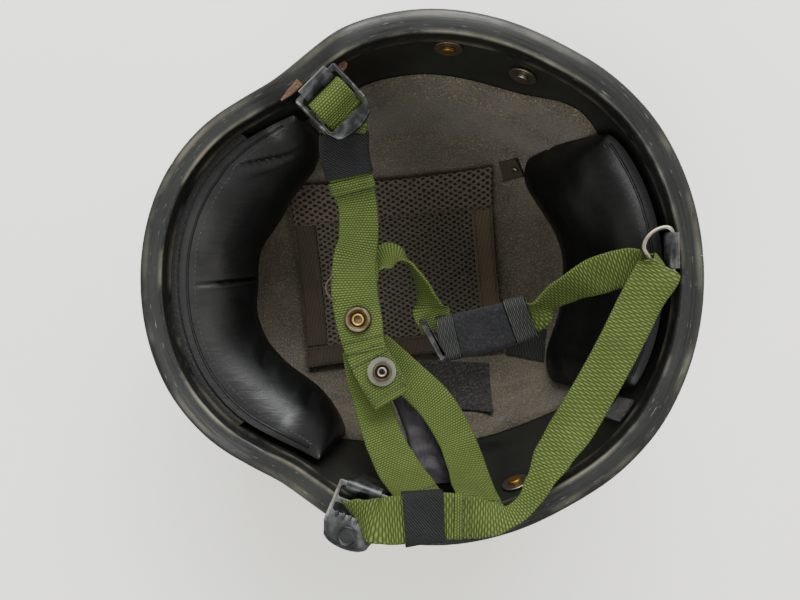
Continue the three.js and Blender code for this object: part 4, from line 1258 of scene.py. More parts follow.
def wall_cushion(spec):
    """A leather cushion against the wall, and a share per point of rubbed wear and painted highlight."""
    front_rows = [1 - k / 48 for k in range(45)] + [0.06, 0.042, 0.027, 0.015, 0.006, 0.0]
    rings = []
    wear_and_highlight = []
    for i in range(CUSHION_STEPS + 1):
        turn = mix(spec["from"], spec["to"], i / CUSHION_STEPS)
        back = []
        for k in range(BACK_ROWS):
            turn_at, depth = cushion_place(spec, turn, k / (BACK_ROWS - 1))[:2]
            back.append(on_wall(turn_at, depth, back_inset(depth)))
        rings.append(back + [cushion_point(spec, turn, v) for v in front_rows])
        # each point's share of the spots of rubbed wear and painted highlight
        for v in [-1.0] * BACK_ROWS + front_rows:
            spots = [math.exp(-(((turn - a) / b) ** 2) - ((v - c) / d) ** 2) for a, b, c, d in spec["rubbed_and_highlight"]]
            wear_and_highlight.append(min(1.0, sum(spots)))
    return loft(rings), wear_and_highlight


# Sections from end to end of a wall cushion, and rows of points across its back
CUSHION_STEPS = 300
BACK_ROWS = 9

# Wall cushions, by turn from end to end and by depth from the rim. Each swell is a turn, its spread and
# its height; each spot of rubbed wear and painted highlight a turn, its spread, a share across and its
# spread. A crease runs at a turn, slants by so much of a turn, and starts and ends at shares across
BROW_PAD = {
    "from": -60,
    "to": 54,
    "thick": 25,
    "edge": 1.8,
    "near": 11.5,
    "far": 101,
    "spread": 0.06,
    "ends": 5.5,
    "swell": [(24, 11, 4.5), (-16, 9, -2.5), (0, 5, 1.0)],
    "rubbed_and_highlight": [(-38, 13, 0.1, 0.09), (13, 13, 0.05, 0.06), (-12, 6, 0.05, 0.05), (46, 7, 0.1, 0.1)],
    "creases": [
        {"turn": 1.0, "slant": 3.0, "start": -0.1, "end": 0.8, "deep": 0.12, "wide": 0.42},
        {"turn": 68.0, "slant": 74.0, "start": -0.12, "end": 0.26, "deep": 0.3, "wide": 1.4},
        {"turn": -24.0, "slant": 14.0, "start": 0.25, "end": 0.75, "deep": 0.1, "wide": 2.0},
        {"turn": -44.0, "slant": 10.0, "start": 0.2, "end": 0.6, "deep": 0.08, "wide": 1.8},
    ],
    "seed": 1.0,
    "fill": 0.7,
}
NAPE_PAD = {
    "from": 143,
    "to": 208,
    "thick": 24,
    "edge": 2.5,
    "near": 12,
    "far": 119,
    "spread": 0.3,
    "ends": 7,
    "swell": [],
    "rubbed_and_highlight": [(153, 8, 0.14, 0.07), (168, 9, 0.1, 0.05), (158, 9, 0.3, 0.14)],
    "creases": [
        {"turn": 150.0, "slant": 10.0, "start": -0.1, "end": 0.7, "deep": 0.09, "wide": 2.2},
        {"turn": 200.0, "slant": -8.0, "start": 0.1, "end": 0.8, "deep": 0.08, "wide": 2.0},
    ],
    "seed": 4.0,
    "fill": 0.75,
}


def build_pads():
    """The two leather cushions."""
    for name, spec in (("brow_cushion", BROW_PAD), ("nape_cushion", NAPE_PAD)):
        skin, wear_and_highlight = wall_cushion(spec)
        piece(name, skin, 70, wear_and_highlight)


def wall_strip(rows, wide, thick, inset_of, fine=10):
    """A strip along the wall through rows of turn and depth, with rounded edges."""
    points = []
    for k in range((len(rows) - 1) * fine + 1):
        i = min(k // fine, len(rows) - 2)
        t = k / fine - i
        points.append((mix(rows[i][0], rows[i + 1][0], t), mix(rows[i][1], rows[i + 1][1], t)))
    rings = []
    ways = [0.0]
    for k, (turn, depth) in enumerate(points):
        ahead = points[min(k + 1, len(points) - 1)]
        behind = points[max(k - 1, 0)]
        reach = wall_reach(turn, depth, 0)
        way = Vector((math.radians(ahead[0] - behind[0]) * reach, ahead[1] - behind[1])).normalized()
        outline, us = stadium(wide, thick, 8, 3)
        ring = []
        for a, f in outline:
            turn_at = turn - math.degrees(way.y * a / reach)
            depth_at = depth + way.x * a
            ring.append(on_wall(turn_at, depth_at, inset_of(depth_at) + thick / 2 + f))
        rings.append(ring)
        if k:
            ways.append(ways[-1] + (rings[-1][4] - rings[-2][4]).length)
    return loft(rings, us, ways)


# Crown pad and patches

# The crown cushion: its middle, size and lean in the plan, its thickness, its height over the liner, and
# how much higher its middle stands
CROWN_PAD = {"x": -12, "z": 8, "wide": 126, "high": 113, "lean": 4.6, "thick": 8, "lift": 1.6, "slack": 13}
HALF_A = CROWN_PAD["wide"] / 2
HALF_B = CROWN_PAD["high"] / 2

# Bindings and flap: where each starts and ends both ways over the pad, and how high it lies
BINDINGS = {
    "left": (-HALF_A, -HALF_A + 12.4, -HALF_B + 12.7, HALF_B - 12.7, 0.0),
    "right": (HALF_A - 13.4, HALF_A, -HALF_B + 12.7, HALF_B - 12.7, 0.0),
    "bottom": (-HALF_A, HALF_A, -HALF_B, -HALF_B + 12.4, 0.0),
    "top": (-HALF_A, HALF_A, HALF_B - 24, HALF_B, 1.0),
}
PATCH = {"thick": 1.6, "lift": 3.7}
LOOP_PATCH = {**PATCH, "x": 17, "z": -66, "wide": 55, "high": 27, "lean": -2}
RIBBED_TAPE = {**PATCH, "x": 68, "z": -40, "wide": 22, "high": 20, "lean": -10}

# How far apart the points of a slab are
SLAB_PITCH = 2.2


def crown_point(spec, a, b, out):
    """A point over the crown's skin, at a place of a leaning rectangle of the plan."""
    lean = math.radians(spec["lean"])
    px = spec["x"] + a * math.cos(lean) - b * math.sin(lean)
    pz = spec["z"] + a * math.sin(lean) + b * math.cos(lean)
    sag = spec.get("slack", 0) * (1 - (2 * a / spec["wide"]) ** 2) * (1 - (2 * b / spec["high"]) ** 2)
    depth = crown_skin(px, pz, LINER_GRIP + LINER_WALL + CROWN_STEP) - spec["lift"] - sag - out
    return Vector((px, depth, pz))


def slab(spec, from_a, to_a, from_b, to_b, lift=0.0, thick=None, rim=1.2, ripple=0.3, seed=0.0):
    """A slab over a part of that rectangle, its edges rounded."""
    thick = thick or spec["thick"]

    def full(a, b):
        edge = min(a - from_a, to_a - a, b - from_b, to_b - b)
        share = min(max(edge / rim, 0.0), 1.0)
        rounding = math.sqrt(1 - (1 - share) ** 2)
        wave = ripple * noise.noise(Vector((a / 12, b / 12, seed))) * share
        return lift + thick * (0.45 + 0.55 * rounding) + wave

    def marks(low, high):
        count = max(4, int((high - low) / SLAB_PITCH))
        near = 0.4 / (high - low)
        shares = [0.0, near] + [k / count for k in range(1, count)] + [1 - near, 1.0]
        return [mix(low, high, share) for share in shares]

    columns = marks(from_b, to_b)
    vs = marks(from_a, to_a)
    rings = []
    for a in vs:
        under = [crown_point(spec, a, b, lift) for b in columns]
        rings.append(under + [crown_point(spec, a, b, full(a, b)) for b in reversed(columns)])
    us = columns + columns[::-1] + [columns[0]]
    return loft(rings, us, vs)


def build_crown_pad():
    """The mesh cushion, with its bindings and its flap just over it."""
    skin = slab(CROWN_PAD, -HALF_A, HALF_A, -HALF_B, HALF_B, rim=5, ripple=0.8)
    piece("crown_cushion", skin)
    for side, (from_a, to_a, from_b, to_b, lift) in BINDINGS.items():
        over = CROWN_PAD["thick"] + 0.35 + lift
        skin = slab(CROWN_PAD, from_a, to_a, from_b, to_b, over, 1.2, ripple=0.35, seed=2.0)
        piece("crown_cushion_" + side, skin)


def build_patches():
    """Patches and tape on the crown, and strips on the wall through rows of turn and depth."""
    for name, spec in (("liner_loop_patch", LOOP_PATCH), ("liner_ribbed_tape", RIBBED_TAPE)):
        half_a = spec["wide"] / 2
        half_b = spec["high"] / 2
        piece(name, slab(spec, -half_a, half_a, -half_b, half_b))
    hook_rows = [(turn, edge_depth(turn) + 14.6) for turn in [-38 + 5.6 * k for k in range(15)]]
    tab_rows = [(128.5, 123), (131, 118), (133, 113)]
    square_rows = [(-149, 33), (-146, 32), (-143, 31)]
    piece("brow_edge_hooks", wall_strip(hook_rows, 6.5, 3.8, lambda depth: WALL + 0.2, 6))
    piece("liner_snap_tab", wall_strip(tab_rows, 17, 1.4, lambda depth: back_inset(depth) + 0.5))
    piece("rear_hook_square", wall_strip(square_rows, 17, 1.8, lambda depth: WALL + 0.9))


# Straps, keepers and sleeve


# Straps: their rows, the seed of their waves and the steps from row to row
STRAPS = {
    "left_web": (over_crossbar(LEFT_TUBE, LEFT_AXES, LEFT_WOUND) + LEFT_STRAP, 1.0, 10),
    "rear_web": (RIGHT_PINCH + REAR_STRAP, 2.0, 10),
    "arch_web": (ARCH_STRAP, 3.0, 12),
    "chin_web_left": (CHIN_LEFT, 4.0, 12),
    "chin_web_right": (CHIN_RIGHT, 5.0, 12),
}


def build_straps():
    """The webbing and its lining, each a flat web of its own length."""
    sizes = bpy.context.scene.helmet_sizes
    for name, (rows, seed, steps) in STRAPS.items():
        rows = [one[:5] + (one[5] * sizes.web_width / WEB_WIDTH,) for one in rows]
        made = piece(name, web(rows, sizes.web_thickness / MM, steps, 0.3, seed), SHARP_ON_SOFT)
    skin = web(CHIN_LINING, sizes.lining_thickness / MM, 14, 1.2, 6.0)
    made = piece("chin_lining_strip", skin, SHARP_ON_SOFT)


# Folds that thicken the webbing: their rows, thickness and the seed of their waves
FOLDS = {
    "fold_junction": ([row(-32.2, 30.8, 11.5, 0, 0, 22.6), row(-33.4, 32.3, 1, -28, 0, 25)], 2.4, 13.0),
    "fold_under_keeper": (
        [between(LEFT_STRAP[2], LEFT_STRAP[3], share)[:5] + (22.6,) for share in (0.05, 0.5)],
        3.6,
        11.0,
    ),
    "fold_end_tab": ([between(LEFT_STRAP[-2], LEFT_STRAP[-1], share) for share in (0.72, 0.99)], 2.8, 11.0),
    "fold_rear_hem": (
        [row(14, -9.2, -110.2, -88, 0, 21.5), row(17.6, -9.3, -110.3, -88, 0, 21.5)],
        3.4,
        11.0,
    ),
    "fold_left_seam": ([between(LEFT_STRAP[7], LEFT_STRAP[8], share) for share in (0.86, 1.0)], 2.5, 11.0),
}
# Shims under the left clip, then the points of the loop of loose thread
SHIMS = {
    "shim_front": [
        row(-55.5, 3.4, 94.5, 52, 0, 4),
        row(-60, 3.4, 90, 48, 0, 3.2),
        row(-64.5, 3.4, 86, 44, 0, 1.2),
    ],
    "shim_rear": [
        row(-37.5, 4.5, 99.5, -42, 0, 4),
        row(-35, 4.4, 102, -42, 0, 4),
        row(-33.6, 4.4, 103.6, -42, 0, 2.2),
    ],
    "shim_middle": [
        row(-47, 3.6, 86.4, -38, -50, 2.4),
        row(-43, 3.2, 90, -38, -50, 3.4),
        row(-38.8, 3.6, 94.4, -38, -50, 2.0),
    ],
}
THREAD_LOOP = [
    (-42.6, 29.5, 3.4),
    (-45.5, 28.6, 1.2),
    (-47.8, 28.8, -2.7),
    (-46.9, 29.2, -7.0),
    (-43.6, 29.8, -10.4),
]


def build_folds():
    """Hems and folded ends of the webbing, a loop of loose thread and the shims under the left clip."""
    for name, (rows, thick, seed) in FOLDS.items():
        piece(name, web(rows, thick, 8, 0.2, seed), SHARP_ON_SOFT)
    piece("loose_thread", wire(THREAD_LOOP, 0.36, 40, 8), SHARP_ON_SOFT)
    for name, rows in SHIMS.items():
        piece(name, web(rows, 1.0, 8, 0.1, 12.0), SHARP_ON_SOFT)


def stitch_tree():
    """Stitches along a path: beads of thread at an even pitch, each turned a little by chance."""
    tree = bpy.data.node_groups.get("stitches")
    if tree:
        return tree
    tree = bpy.data.node_groups.new("stitches", "GeometryNodeTree")
    tree.is_modifier = True
    face = tree.interface
    face.new_socket("Geometry", in_out="OUTPUT", socket_type="NodeSocketGeometry")
    for name, kind in (
        ("Path", "NodeSocketGeometry"),
        ("Pitch", "NodeSocketFloat"),
        ("Stitch Length", "NodeSocketFloat"),
        ("Thread Radius", "NodeSocketFloat"),
        ("Askew", "NodeSocketFloat"),
        ("Seed", "NodeSocketInt"),
        ("Thread", "NodeSocketMaterial"),
    ):
        face.new_socket(name, in_out="INPUT", socket_type=kind)
    given = put(tree, "NodeGroupInput").outputs
    curve = put(tree, "GeometryNodeMeshToCurve", {"Mesh": given["Path"]})
    spots = put(
        tree,
        "GeometryNodeCurveToPoints",
        {"Curve": curve.outputs[0], "Length": given["Pitch"]},
        mode="LENGTH",
    )
    half = put(tree, "ShaderNodeMath", {0: given["Stitch Length"], 1: 0.5}, operation="MULTIPLY")
    size = put(
        tree,
        "ShaderNodeCombineXYZ",
        {"X": given["Thread Radius"], "Y": given["Thread Radius"], "Z": half.outputs[0]},
    )
    lower = put(tree, "ShaderNodeMath", {0: given["Askew"], 1: -1.0}, operation="MULTIPLY")
    chance = put(
        tree,
        "FunctionNodeRandomValue",
        {"Min": lower.outputs[0], "Max": given["Askew"], "Seed": given["Seed"]},
        data_type="FLOAT_VECTOR",
    )
    lean = put(tree, "FunctionNodeEulerToRotation", {0: chance.outputs[0]})
    way = put(
        tree,
        "FunctionNodeRotateRotation",
        {"Rotation": spots.outputs["Rotation"], "Rotate By": lean.outputs[0]},
        rotation_space="LOCAL",
    )
    bead = put(tree, "GeometryNodeMeshUVSphere", {"Segments": 8, "Rings": 6, "Radius": 1.0})
    row_of = put(
        tree,
        "GeometryNodeInstanceOnPoints",
        {
            "Points": spots.outputs["Points"],
            "Instance": bead.outputs["Mesh"],
            "Rotation": way.outputs[0],
            "Scale": size.outputs[0],
        },
    )
    real = put(tree, "GeometryNodeRealizeInstances", {0: row_of.outputs[0]})
    dyed = put(tree, "GeometryNodeSetMaterial", {"Geometry": real.outputs[0], "Material": given["Thread"]})
    put(tree, "NodeGroupOutput", {0: dyed.outputs[0]})
    return tree


def stitched(name, paths, pitch=1.0, seed=0):
    """Rows of stitches along paths of points, as one plain mesh."""
    thread = finish(PIECES[name][0])
    sizes = bpy.context.scene.helmet_sizes
    points = [world(point) for path in paths for point in path]
    edges = []
    first = 0
    for path in paths:
        edges += [(first + k, first + k + 1) for k in range(len(path) - 1)]
        first += len(path)
    line = bpy.data.meshes.new(name)
    line.from_pydata(points, edges, [])
    guide = bpy.data.objects.new(name + "_path", line)
    bpy.context.scene.collection.objects.link(guide)
    tree = stitch_tree()
    maker = guide.modifiers.new("stitches", "NODES")
    maker.node_group = tree
    values = {
        "Pitch": sizes.stitch_pitch * pitch,
        "Stitch Length": sizes.stitch_length * pitch,
        "Thread Radius": sizes.thread_radius,
        "Askew": 0.12,
        "Seed": seed,
        "Thread": thread,
    }
    for item in tree.interface.items_tree:
        if item.in_out == "INPUT" and item.name in values:
            maker[item.identifier] = values[item.name]
    seen = guide.evaluated_get(bpy.context.evaluated_depsgraph_get())
    mesh = bpy.data.meshes.new_from_object(seen)
    mesh.name = name
    guide.modifiers.clear()
    bpy.data.objects.remove(guide)
    if not mesh.polygons:
        raise RuntimeError("no stitches were made for " + name)
    kept(name, mesh, 80)


def on_web(rows, share, across, out):
    """A point of a strap: share of its sections, mm across it and mm out of its face."""
    found = stations(rows)
    at, side, face = found[min(int(share * (len(found) - 1)), len(found) - 1)][:3]
    return at + side * across + face * out


def cross_row(rows, share, half, out):
    """A row of points straight across a strap."""
    return [on_web(rows, share, mix(-half, half, k / 8), out) for k in range(9)]


# Seams across the straps: the strap, share of its way, half the seam's width and how far out of the face
CROSS_SEAMS = [
    (LEFT_STRAP, 0.235, 9.4, 2.1),
    (LEFT_STRAP, 0.262, 9.4, 2.0),
    (LEFT_STRAP, 0.765, 9.2, 1.55),
    (LEFT_STRAP, 0.79, 9.2, 1.55),
    (LEFT_STRAP, 0.835, 9.6, 1.25),
    (LEFT_STRAP, 0.975, 9.4, 1.8),
    (REAR_STRAP, 0.162, 9.0, -1.9),
    (REAR_STRAP, 0.15, 9.0, -1.9),
    (CHIN_LEFT, 0.93, 9.2, 1.05),
    (CHIN_RIGHT, 0.8, 9.2, 1.05),
]
# Seams over the crown cushion, from place to place of its rectangle
CROWN_SEAMS = [
    (-HALF_A + 10.6, -HALF_B + 14, -HALF_A + 10.6, HALF_B - 26),
    (HALF_A - 11.6, -HALF_B + 14, HALF_A - 11.6, HALF_B - 26),
    (-HALF_A + 2, -HALF_B + 10.6, HALF_A - 2, -HALF_B + 10.6),
    (-HALF_A + 2, -HALF_B + 1.8, HALF_A - 2, -HALF_B + 1.8),
    (HALF_A - 1.8, -HALF_B + 14, HALF_A - 1.8, HALF_B - 26),
]
PATCH_BORDER = [(-26, -12, 26, -12), (26, -12, 26, 12), (26, 12, -26, 12), (-26, 12, -26, -12)]


def crown_line(spec, ends, out, parts):
    """Points of a straight line over the crown's skin, between two places of a leaning rectangle."""
    from_a, from_b, to_a, to_b = ends
    marks = [k / parts for k in range(parts + 1)]
    return [crown_point(spec, mix(from_a, to_a, mark), mix(from_b, to_b, mark), out) for mark in marks]


def build_seams():
    """Stitched seams of the cushions, the crown cushion, the straps and the loop patch."""
    for name, spec in (("brow_seam", BROW_PAD), ("nape_seam", NAPE_PAD)):
        span = spec["to"] - spec["from"]
        turns = [spec["from"] + span * (0.04 + 0.92 * k / 90) for k in range(91)]
        edge = [cushion_point(spec, turn, 0.004, 0.2) for turn in turns]
        piece(name + "_piping", wire(edge, 0.7, 180, 8), SHARP_ON_SOFT)
        stitched(name, [[cushion_point(spec, turn, 0.022, 0.1) for turn in turns]], 1.0, 3)
    top = CROWN_PAD["thick"] + 1.7
    stitched("crown_seams", [crown_line(CROWN_PAD, ends, top, 24) for ends in CROWN_SEAMS], 0.9, 5)
    bars = []
    for k in range(3):
        level = HALF_B - 1.6 - 1.2 * k
        beside = -HALF_A + 1.4 + 1.2 * k
        bars.append(crown_line(CROWN_PAD, (-HALF_A + 1.5, level, -HALF_A + 20, level), top + 1.0, 12))
        bars.append(crown_line(CROWN_PAD, (beside, HALF_B - 1.5, beside, HALF_B - 14), top + 1.0, 12))
    level = HALF_B - 22.6
    bars.append(crown_line(CROWN_PAD, (-HALF_A + 2, level, HALF_A - 2, level), top + 1.0, 24))
    level = -HALF_B + 1.2
    bars.append(crown_line(CROWN_PAD, (-HALF_A + 2, level, -HALF_A + 14, level), top + 0.2, 12))
    stitched("crown_bar_tacks", bars, 0.8, 7)
    rows = [cross_row(*seam) for seam in CROSS_SEAMS]
    for side in (-9.3, 9.3):
        rows.append([on_web(LEFT_STRAP, 0.9 + 0.08 * k / 8, side, 1.8) for k in range(9)])
    stitched("strap_stitches", rows, 0.75, 9)
    loop = {**LOOP_PATCH, "lift": 1.4}
    stitched("loop_patch_seam", [crown_line(loop, ends, 1.9, 12) for ends in PATCH_BORDER], 0.9, 11)


def build_keepers():
    """Elastic keepers round the straps, and the velour sleeve between its two ribbed cuffs."""
    left = [LEFT_STRAP[0], LEFT_STRAP[1], between(LEFT_STRAP[1], LEFT_STRAP[2], 0.9)]
    right = [between(REAR_STRAP[1], REAR_STRAP[2], 0.3), REAR_STRAP[2], REAR_STRAP[3]]
    mouth, middle, far, tail = REAR_STRAP[-4:]
    velour = [between(mouth, middle, 0.72), middle, far]
    right_cuff = [between(mouth, middle, share) for share in (0.1, 0.4, 0.69)]
    left_cuff = [between(far, tail, 0.06), between(far, tail, 0.5), tail]
    for name, skin in (
        ("keeper_left", tube_web(left, 2.8, 1.2, 12, 1.2, hand=-1)),
        ("keeper_right", tube_web(right, 2.8, 1.2, 12)),
        ("sleeve_velour", tube_web(velour, 3.2, 1.4, 16, 1.0, 0.9, 7.0)),
        ("sleeve_cuff_right", tube_web(right_cuff, 3.6, 1.6, 10, 2.8, 0.4, 8.0)),
        ("sleeve_cuff_left", tube_web(left_cuff, 3.4, 1.6, 10, 1.0, 0.4, 9.0)),
    ):
        piece(name, skin, SHARP_ON_SOFT)


# Metal fittings


def turned(profile, sides, centre, axis):
    """A turned skin from rows of radius and height; a profile that ends off the axis closes on itself."""
    axis = Vector(axis).normalized()
    side = axis.orthogonal().normalized()
    other = axis.cross(side)
    solid = profile[0][0] > 0.01
    rows = profile if solid else profile[1:-1]
    rings = []
    for radius, height in rows:
        ring = []
        for k in range(sides):
            angle = 2 * math.pi * k / sides
            spoke = side * math.cos(angle) + other * math.sin(angle)
            ring.append(Vector(centre) + spoke * radius + axis * height)
        rings.append(ring)
    if solid:
        return loft(rings, loop=True)
    tips = (Vector(centre) + axis * profile[0][1], Vector(centre) + axis * profile[-1][1])
    return loft(rings, tips=tips)


def wire(points, radius, steps=160, sides=14, closed=False):
    """A round wire through points."""
    knots = [Vector(point) for point in points]
    if closed:
        count = len(knots)
        looped = knots[-2:] + knots + knots[:3]
        spots = [path_point(looped, (2 + count * k / steps) / (count + 4)) for k in range(steps)]
    else:
        spots = [path_point(knots, k / steps) for k in range(steps + 1)]
    angles = [2 * math.pi * j / sides for j in range(sides)]
    rings = []
    side = None
    total = len(spots)
    for k, spot in enumerate(spots):
        ahead = spots[(k + 1) % total] if closed or k + 1 < total else spot
        behind = spots[k - 1] if closed or k > 0 else spot
        way = (ahead - behind).normalized()
        side = (side - way * side.dot(way)).normalized() if side else way.orthogonal().normalized()
        other = way.cross(side)
        rings.append([spot + side * radius * math.cos(a) + other * radius * math.sin(a) for a in angles])
    return loft(rings, loop=closed)


def plate(outline, windows, thick, bevel=0.45):
    """A bevelled plate from an outline and its windows, drawn flat in x and y."""
    curve = bpy.data.curves.new("plate", "CURVE")
    curve.dimensions = "2D"
    curve.fill_mode = "BOTH"
    curve.extrude = (thick / 2 - bevel) * MM
    curve.bevel_depth = bevel * MM
    curve.bevel_resolution = 2
    curve.offset = -bevel * MM
    for points in [outline] + windows:
        spline = curve.splines.new("POLY")
        spline.points.add(len(points) - 1)
        for k, (x, y) in enumerate(points):
            spline.points[k].co = (x * MM, y * MM, 0.0, 1.0)
        spline.use_cyclic_u = True
    holder = bpy.data.objects.new("plate", curve)
    bpy.context.scene.collection.objects.link(holder)
    bpy.context.view_layer.update()
    mesh = bpy.data.meshes.new_from_object(holder.evaluated_get(bpy.context.evaluated_depsgraph_get()))
    bpy.data.objects.remove(holder)
    bpy.data.curves.remove(curve)
    return mesh


def set_in(mesh, centre, first, second, third):
    """Moves a flat-drawn mesh to its place in the helmet, by where its x, y and z go."""
    origin = world(centre)
    ends = [world(Vector(centre) + axis) - origin for axis in (first, second, third)]
    turn = Matrix([[ends[c][r] / MM for c in range(3)] for r in range(3)]).to_4x4()
    mesh.transform(Matrix.Translation(origin) @ turn)
    return mesh


def merged(name, meshes):
    """Several meshes as one hard piece, with their doubles merged."""
    solid = bmesh.new()
    for mesh in meshes:
        solid.from_mesh(mesh)
        bpy.data.meshes.remove(mesh)
    bmesh.ops.remove_doubles(solid, verts=solid.verts, dist=2e-6)
    bmesh.ops.recalc_face_normals(solid, faces=solid.faces)
    whole = bpy.data.meshes.new(name)
    solid.to_mesh(whole)
    solid.free()
    kept(name, whole, 35)


def box_window(wide, start, end, corner=0.8):
    """A window with cut corners."""
    return [
        (-wide + corner, start),
        (wide - corner, start),
        (wide, start + corner),
        (wide, end - corner),
        (wide - corner, end),
        (-wide + corner, end),
        (-wide, end - corner),
        (-wide, start + corner),
    ]


# Buckle, in half widths across it and in distances down it from its tube
BUCKLE = {
    "outer": 13.0,
    "inner": 10.7,
    "top": 1.4,
    "crossbar": 8.2,
    "bar": 1.4,
    "plate": 21.0,
    "end": 28.5,
    "thick": 2.2,
}


def buckle_outline():
    """A buckle's outline, straight arms and a round end."""
    half = BUCKLE["outer"]
    top = -BUCKLE["top"]
    low = BUCKLE["plate"] - 2
    base = BUCKLE["plate"] + 3
    points = [(-half + 1, top), (half - 1, top), (half, top + 1), (half, low)]
    for k in range(25):
        angle = math.pi * k / 24
        points.append(((half - 2) * math.cos(angle), base + (BUCKLE["end"] - base) * math.sin(angle)))
    return points + [(-half, low), (-half, top + 1)]


def quad(centre, first, second, places):
    """Four points round a centre, by places along two axes."""
    return [centre + first * a + second * b for a, b in places]


# How far down the right buckle its teeth start, and its boss by radius and height
TEETH_START = 13.6
BOSS = [(3.4, 0), (4.6, 0), (4.6, 0.6), (4.1, 0.9), (3.4, 0.6)]


def build_buckles():
    """Two stamped buckles, each with a raised rim, and a lighter strip of bare metal along the arms' edges:
    partly rubbed wear, partly a painted highlight.
    """
    for name, tube, frame_axes in (
        ("buckle_left", LEFT_TUBE, LEFT_AXES),
        ("buckle_right", RIGHT_TUBE, RIGHT_AXES),
    ):
        first, second, third = frame_axes
        toothed = name == "buckle_right"
        start = TEETH_START if toothed else BUCKLE["plate"]
        windows = [
            box_window(BUCKLE["inner"], BUCKLE["top"], BUCKLE["crossbar"] - BUCKLE["bar"]),
            box_window(BUCKLE["inner"], BUCKLE["crossbar"] + BUCKLE["bar"], start),
        ]
        parts = [set_in(plate(buckle_outline(), windows, BUCKLE["thick"]), tube, first, second, -third)]
        base = BUCKLE["plate"] + 3
        rim = []
        for k in range(13):
            angle = math.pi * (0.06 + 0.88 * k / 12)
            across = (BUCKLE["outer"] - 2.6) * math.cos(angle)
            down = base + (BUCKLE["end"] - 1 - base) * math.sin(angle)
            rim.append(on_buckle(tube, frame_axes, across, down, 1.1))
        parts.append(mesh_of(wire(rim, 0.55, 60, 8)))
        if toothed:
            boss = on_buckle(tube, frame_axes, 0, 22.4, 0.9)
            parts.append(mesh_of(turned(BOSS, 40, boss, third)))
            for k in range(6):
                tooth = on_buckle(tube, frame_axes, -8 + 3.2 * k, start + 1.4, 1.0)
                tip = tooth + third * 1.5 - second * 1.0
                foot = quad(tooth, first, second, ((-0.8, -1.2), (0.8, -1.2), (0.8, 1.6), (-0.8, 1.6)))
                top = quad(tip, first, second, ((-0.5, -0.6), (0.5, -0.6), (0.5, 0.8), (-0.5, 0.8)))
                parts.append(mesh_of(loft([foot, top])))
        merged(name, parts)
        # lighter bare-metal wires along both arms: partly real rubbed edges, partly a painted highlight where
        # the arms' edges catch the light
        arms = []
        for side in (-1, 1):
            across = side * (BUCKLE["outer"] - 0.9)
            arm = [on_buckle(tube, frame_axes, across, mix(-0.6, 19.5, k / 8), 0.85) for k in range(9)]
            arms.append(mesh_of(wire(arm, 0.75, 40, 8)))
        merged(name + "_bare_edges_highlight", arms)


# Rolled clips: radii of the tube, how far round it is rolled, and the length and width of the sheet
ROLL_OUTER = 3.6
ROLL_BORE = 2.6
ROLL_SWEEP = math.radians(300)
ROLL_SHEET = 40.0
ROLL_WIDE = 17.0


def rolled(centre, run, side):
    """A rolled sheet clip: a plate along the wall that ends in a tube."""
    first, second, third = axes(run, (0, 1, 0))
    start = 0.0 if side > 0 else math.pi
    angles = [start - side * ROLL_SWEEP * k / 40 for k in range(41)]
    outline = [(side * ROLL_OUTER, ROLL_SHEET), (side * ROLL_OUTER, 0.0)]
    outline += [(ROLL_OUTER * math.cos(angle), ROLL_OUTER * math.sin(angle)) for angle in angles[1:]]
    outline += [(ROLL_BORE * math.cos(angle), ROLL_BORE * math.sin(angle)) for angle in reversed(angles)]
    outline.append((side * ROLL_BORE, ROLL_SHEET))
    return set_in(plate(outline, [], ROLL_WIDE, 0.2), centre, third, second, first)


# The nape ring's wire, round its clip's tube and out to the webbing
NAPE_RING = [
    (119.5, 4, -0.5),
    (119.5, 4, 9),
    (119.5, 4, 20.6),
    (117.6, 4.3, 22.2),
    (113, 4.8, 21.4),
    (108.4, 5, 17.8),
    (106.6, 5, 13),
    (110.2, 4.2, 6.2),
    (114.2, 3.9, 0.2),
    (117.2, 4, -3.6),
]


def build_clips():
    """Three rolled clips, and the wire ring at the nape."""
    for name, centre, run, side in (
        ("rolled_clip_left", LEFT_TUBE, LEFT_AXES[0], -1),
        ("rolled_clip_right", RIGHT_TUBE, RIGHT_AXES[0], 1),
        ("rolled_clip_nape", RING_TUBE, Vector((0, 0, 1)), 1),
    ):
        merged(name, [rolled(centre, run, side)])
    piece("nape_wire_ring", wire(NAPE_RING, 1.2, 140, 14, True))


def rounded_profile(profile, radius=0.18):
    """A closed profile with each corner cut by a small round."""
    soft = []
    count = len(profile)
    for k in range(count):
        here = Vector(profile[k])
        for other in (profile[k - 1], profile[(k + 1) % count]):
            way = Vector(other) - here
            soft.append(tuple(here + way.normalized() * min(radius, way.length * 0.4)))
    return soft


# Where the two press studs sit and which way they face, and their profiles of radius and height
SOCKET_AT = ((-31.8, 30.2, -20), (0, -1, 0))
STUD_AT = ((-20, 27.5, -46.5), (0.1, -1, 0))
CUP = [(0, 0.0), (3.2, 0.0), (3.2, 0.15), (0, 0.15)]
SOCKET = [(3.4, 0.1), (7, 0), (7, 1), (6.4, 2.1), (5.2, 2.5), (4.6, 1.6), (3.6, 0.9)]
EYELET = [(1.9, 0.2), (3.2, 0.2), (3.2, 1.7), (2.6, 2.1), (1.9, 1.6)]
WASHER = [(3.2, 0), (7.4, 0), (7.4, 0.7), (3.2, 0.7)]
STUD = [(2.9, 0.2), (4.8, 0.2), (4.8, 2.6), (4.2, 3.2), (3.5, 2.4), (2.9, 1.2)]
CORE = [(1.3, 0.3), (2.6, 0.3), (2.6, 2.1), (2.0, 2.5), (1.3, 1.9)]
TAB_STUD = [(0, 0), (2.2, 0), (2.2, 0.7), (1.8, 1.0), (1.4, 1.3), (0, 1.3)]


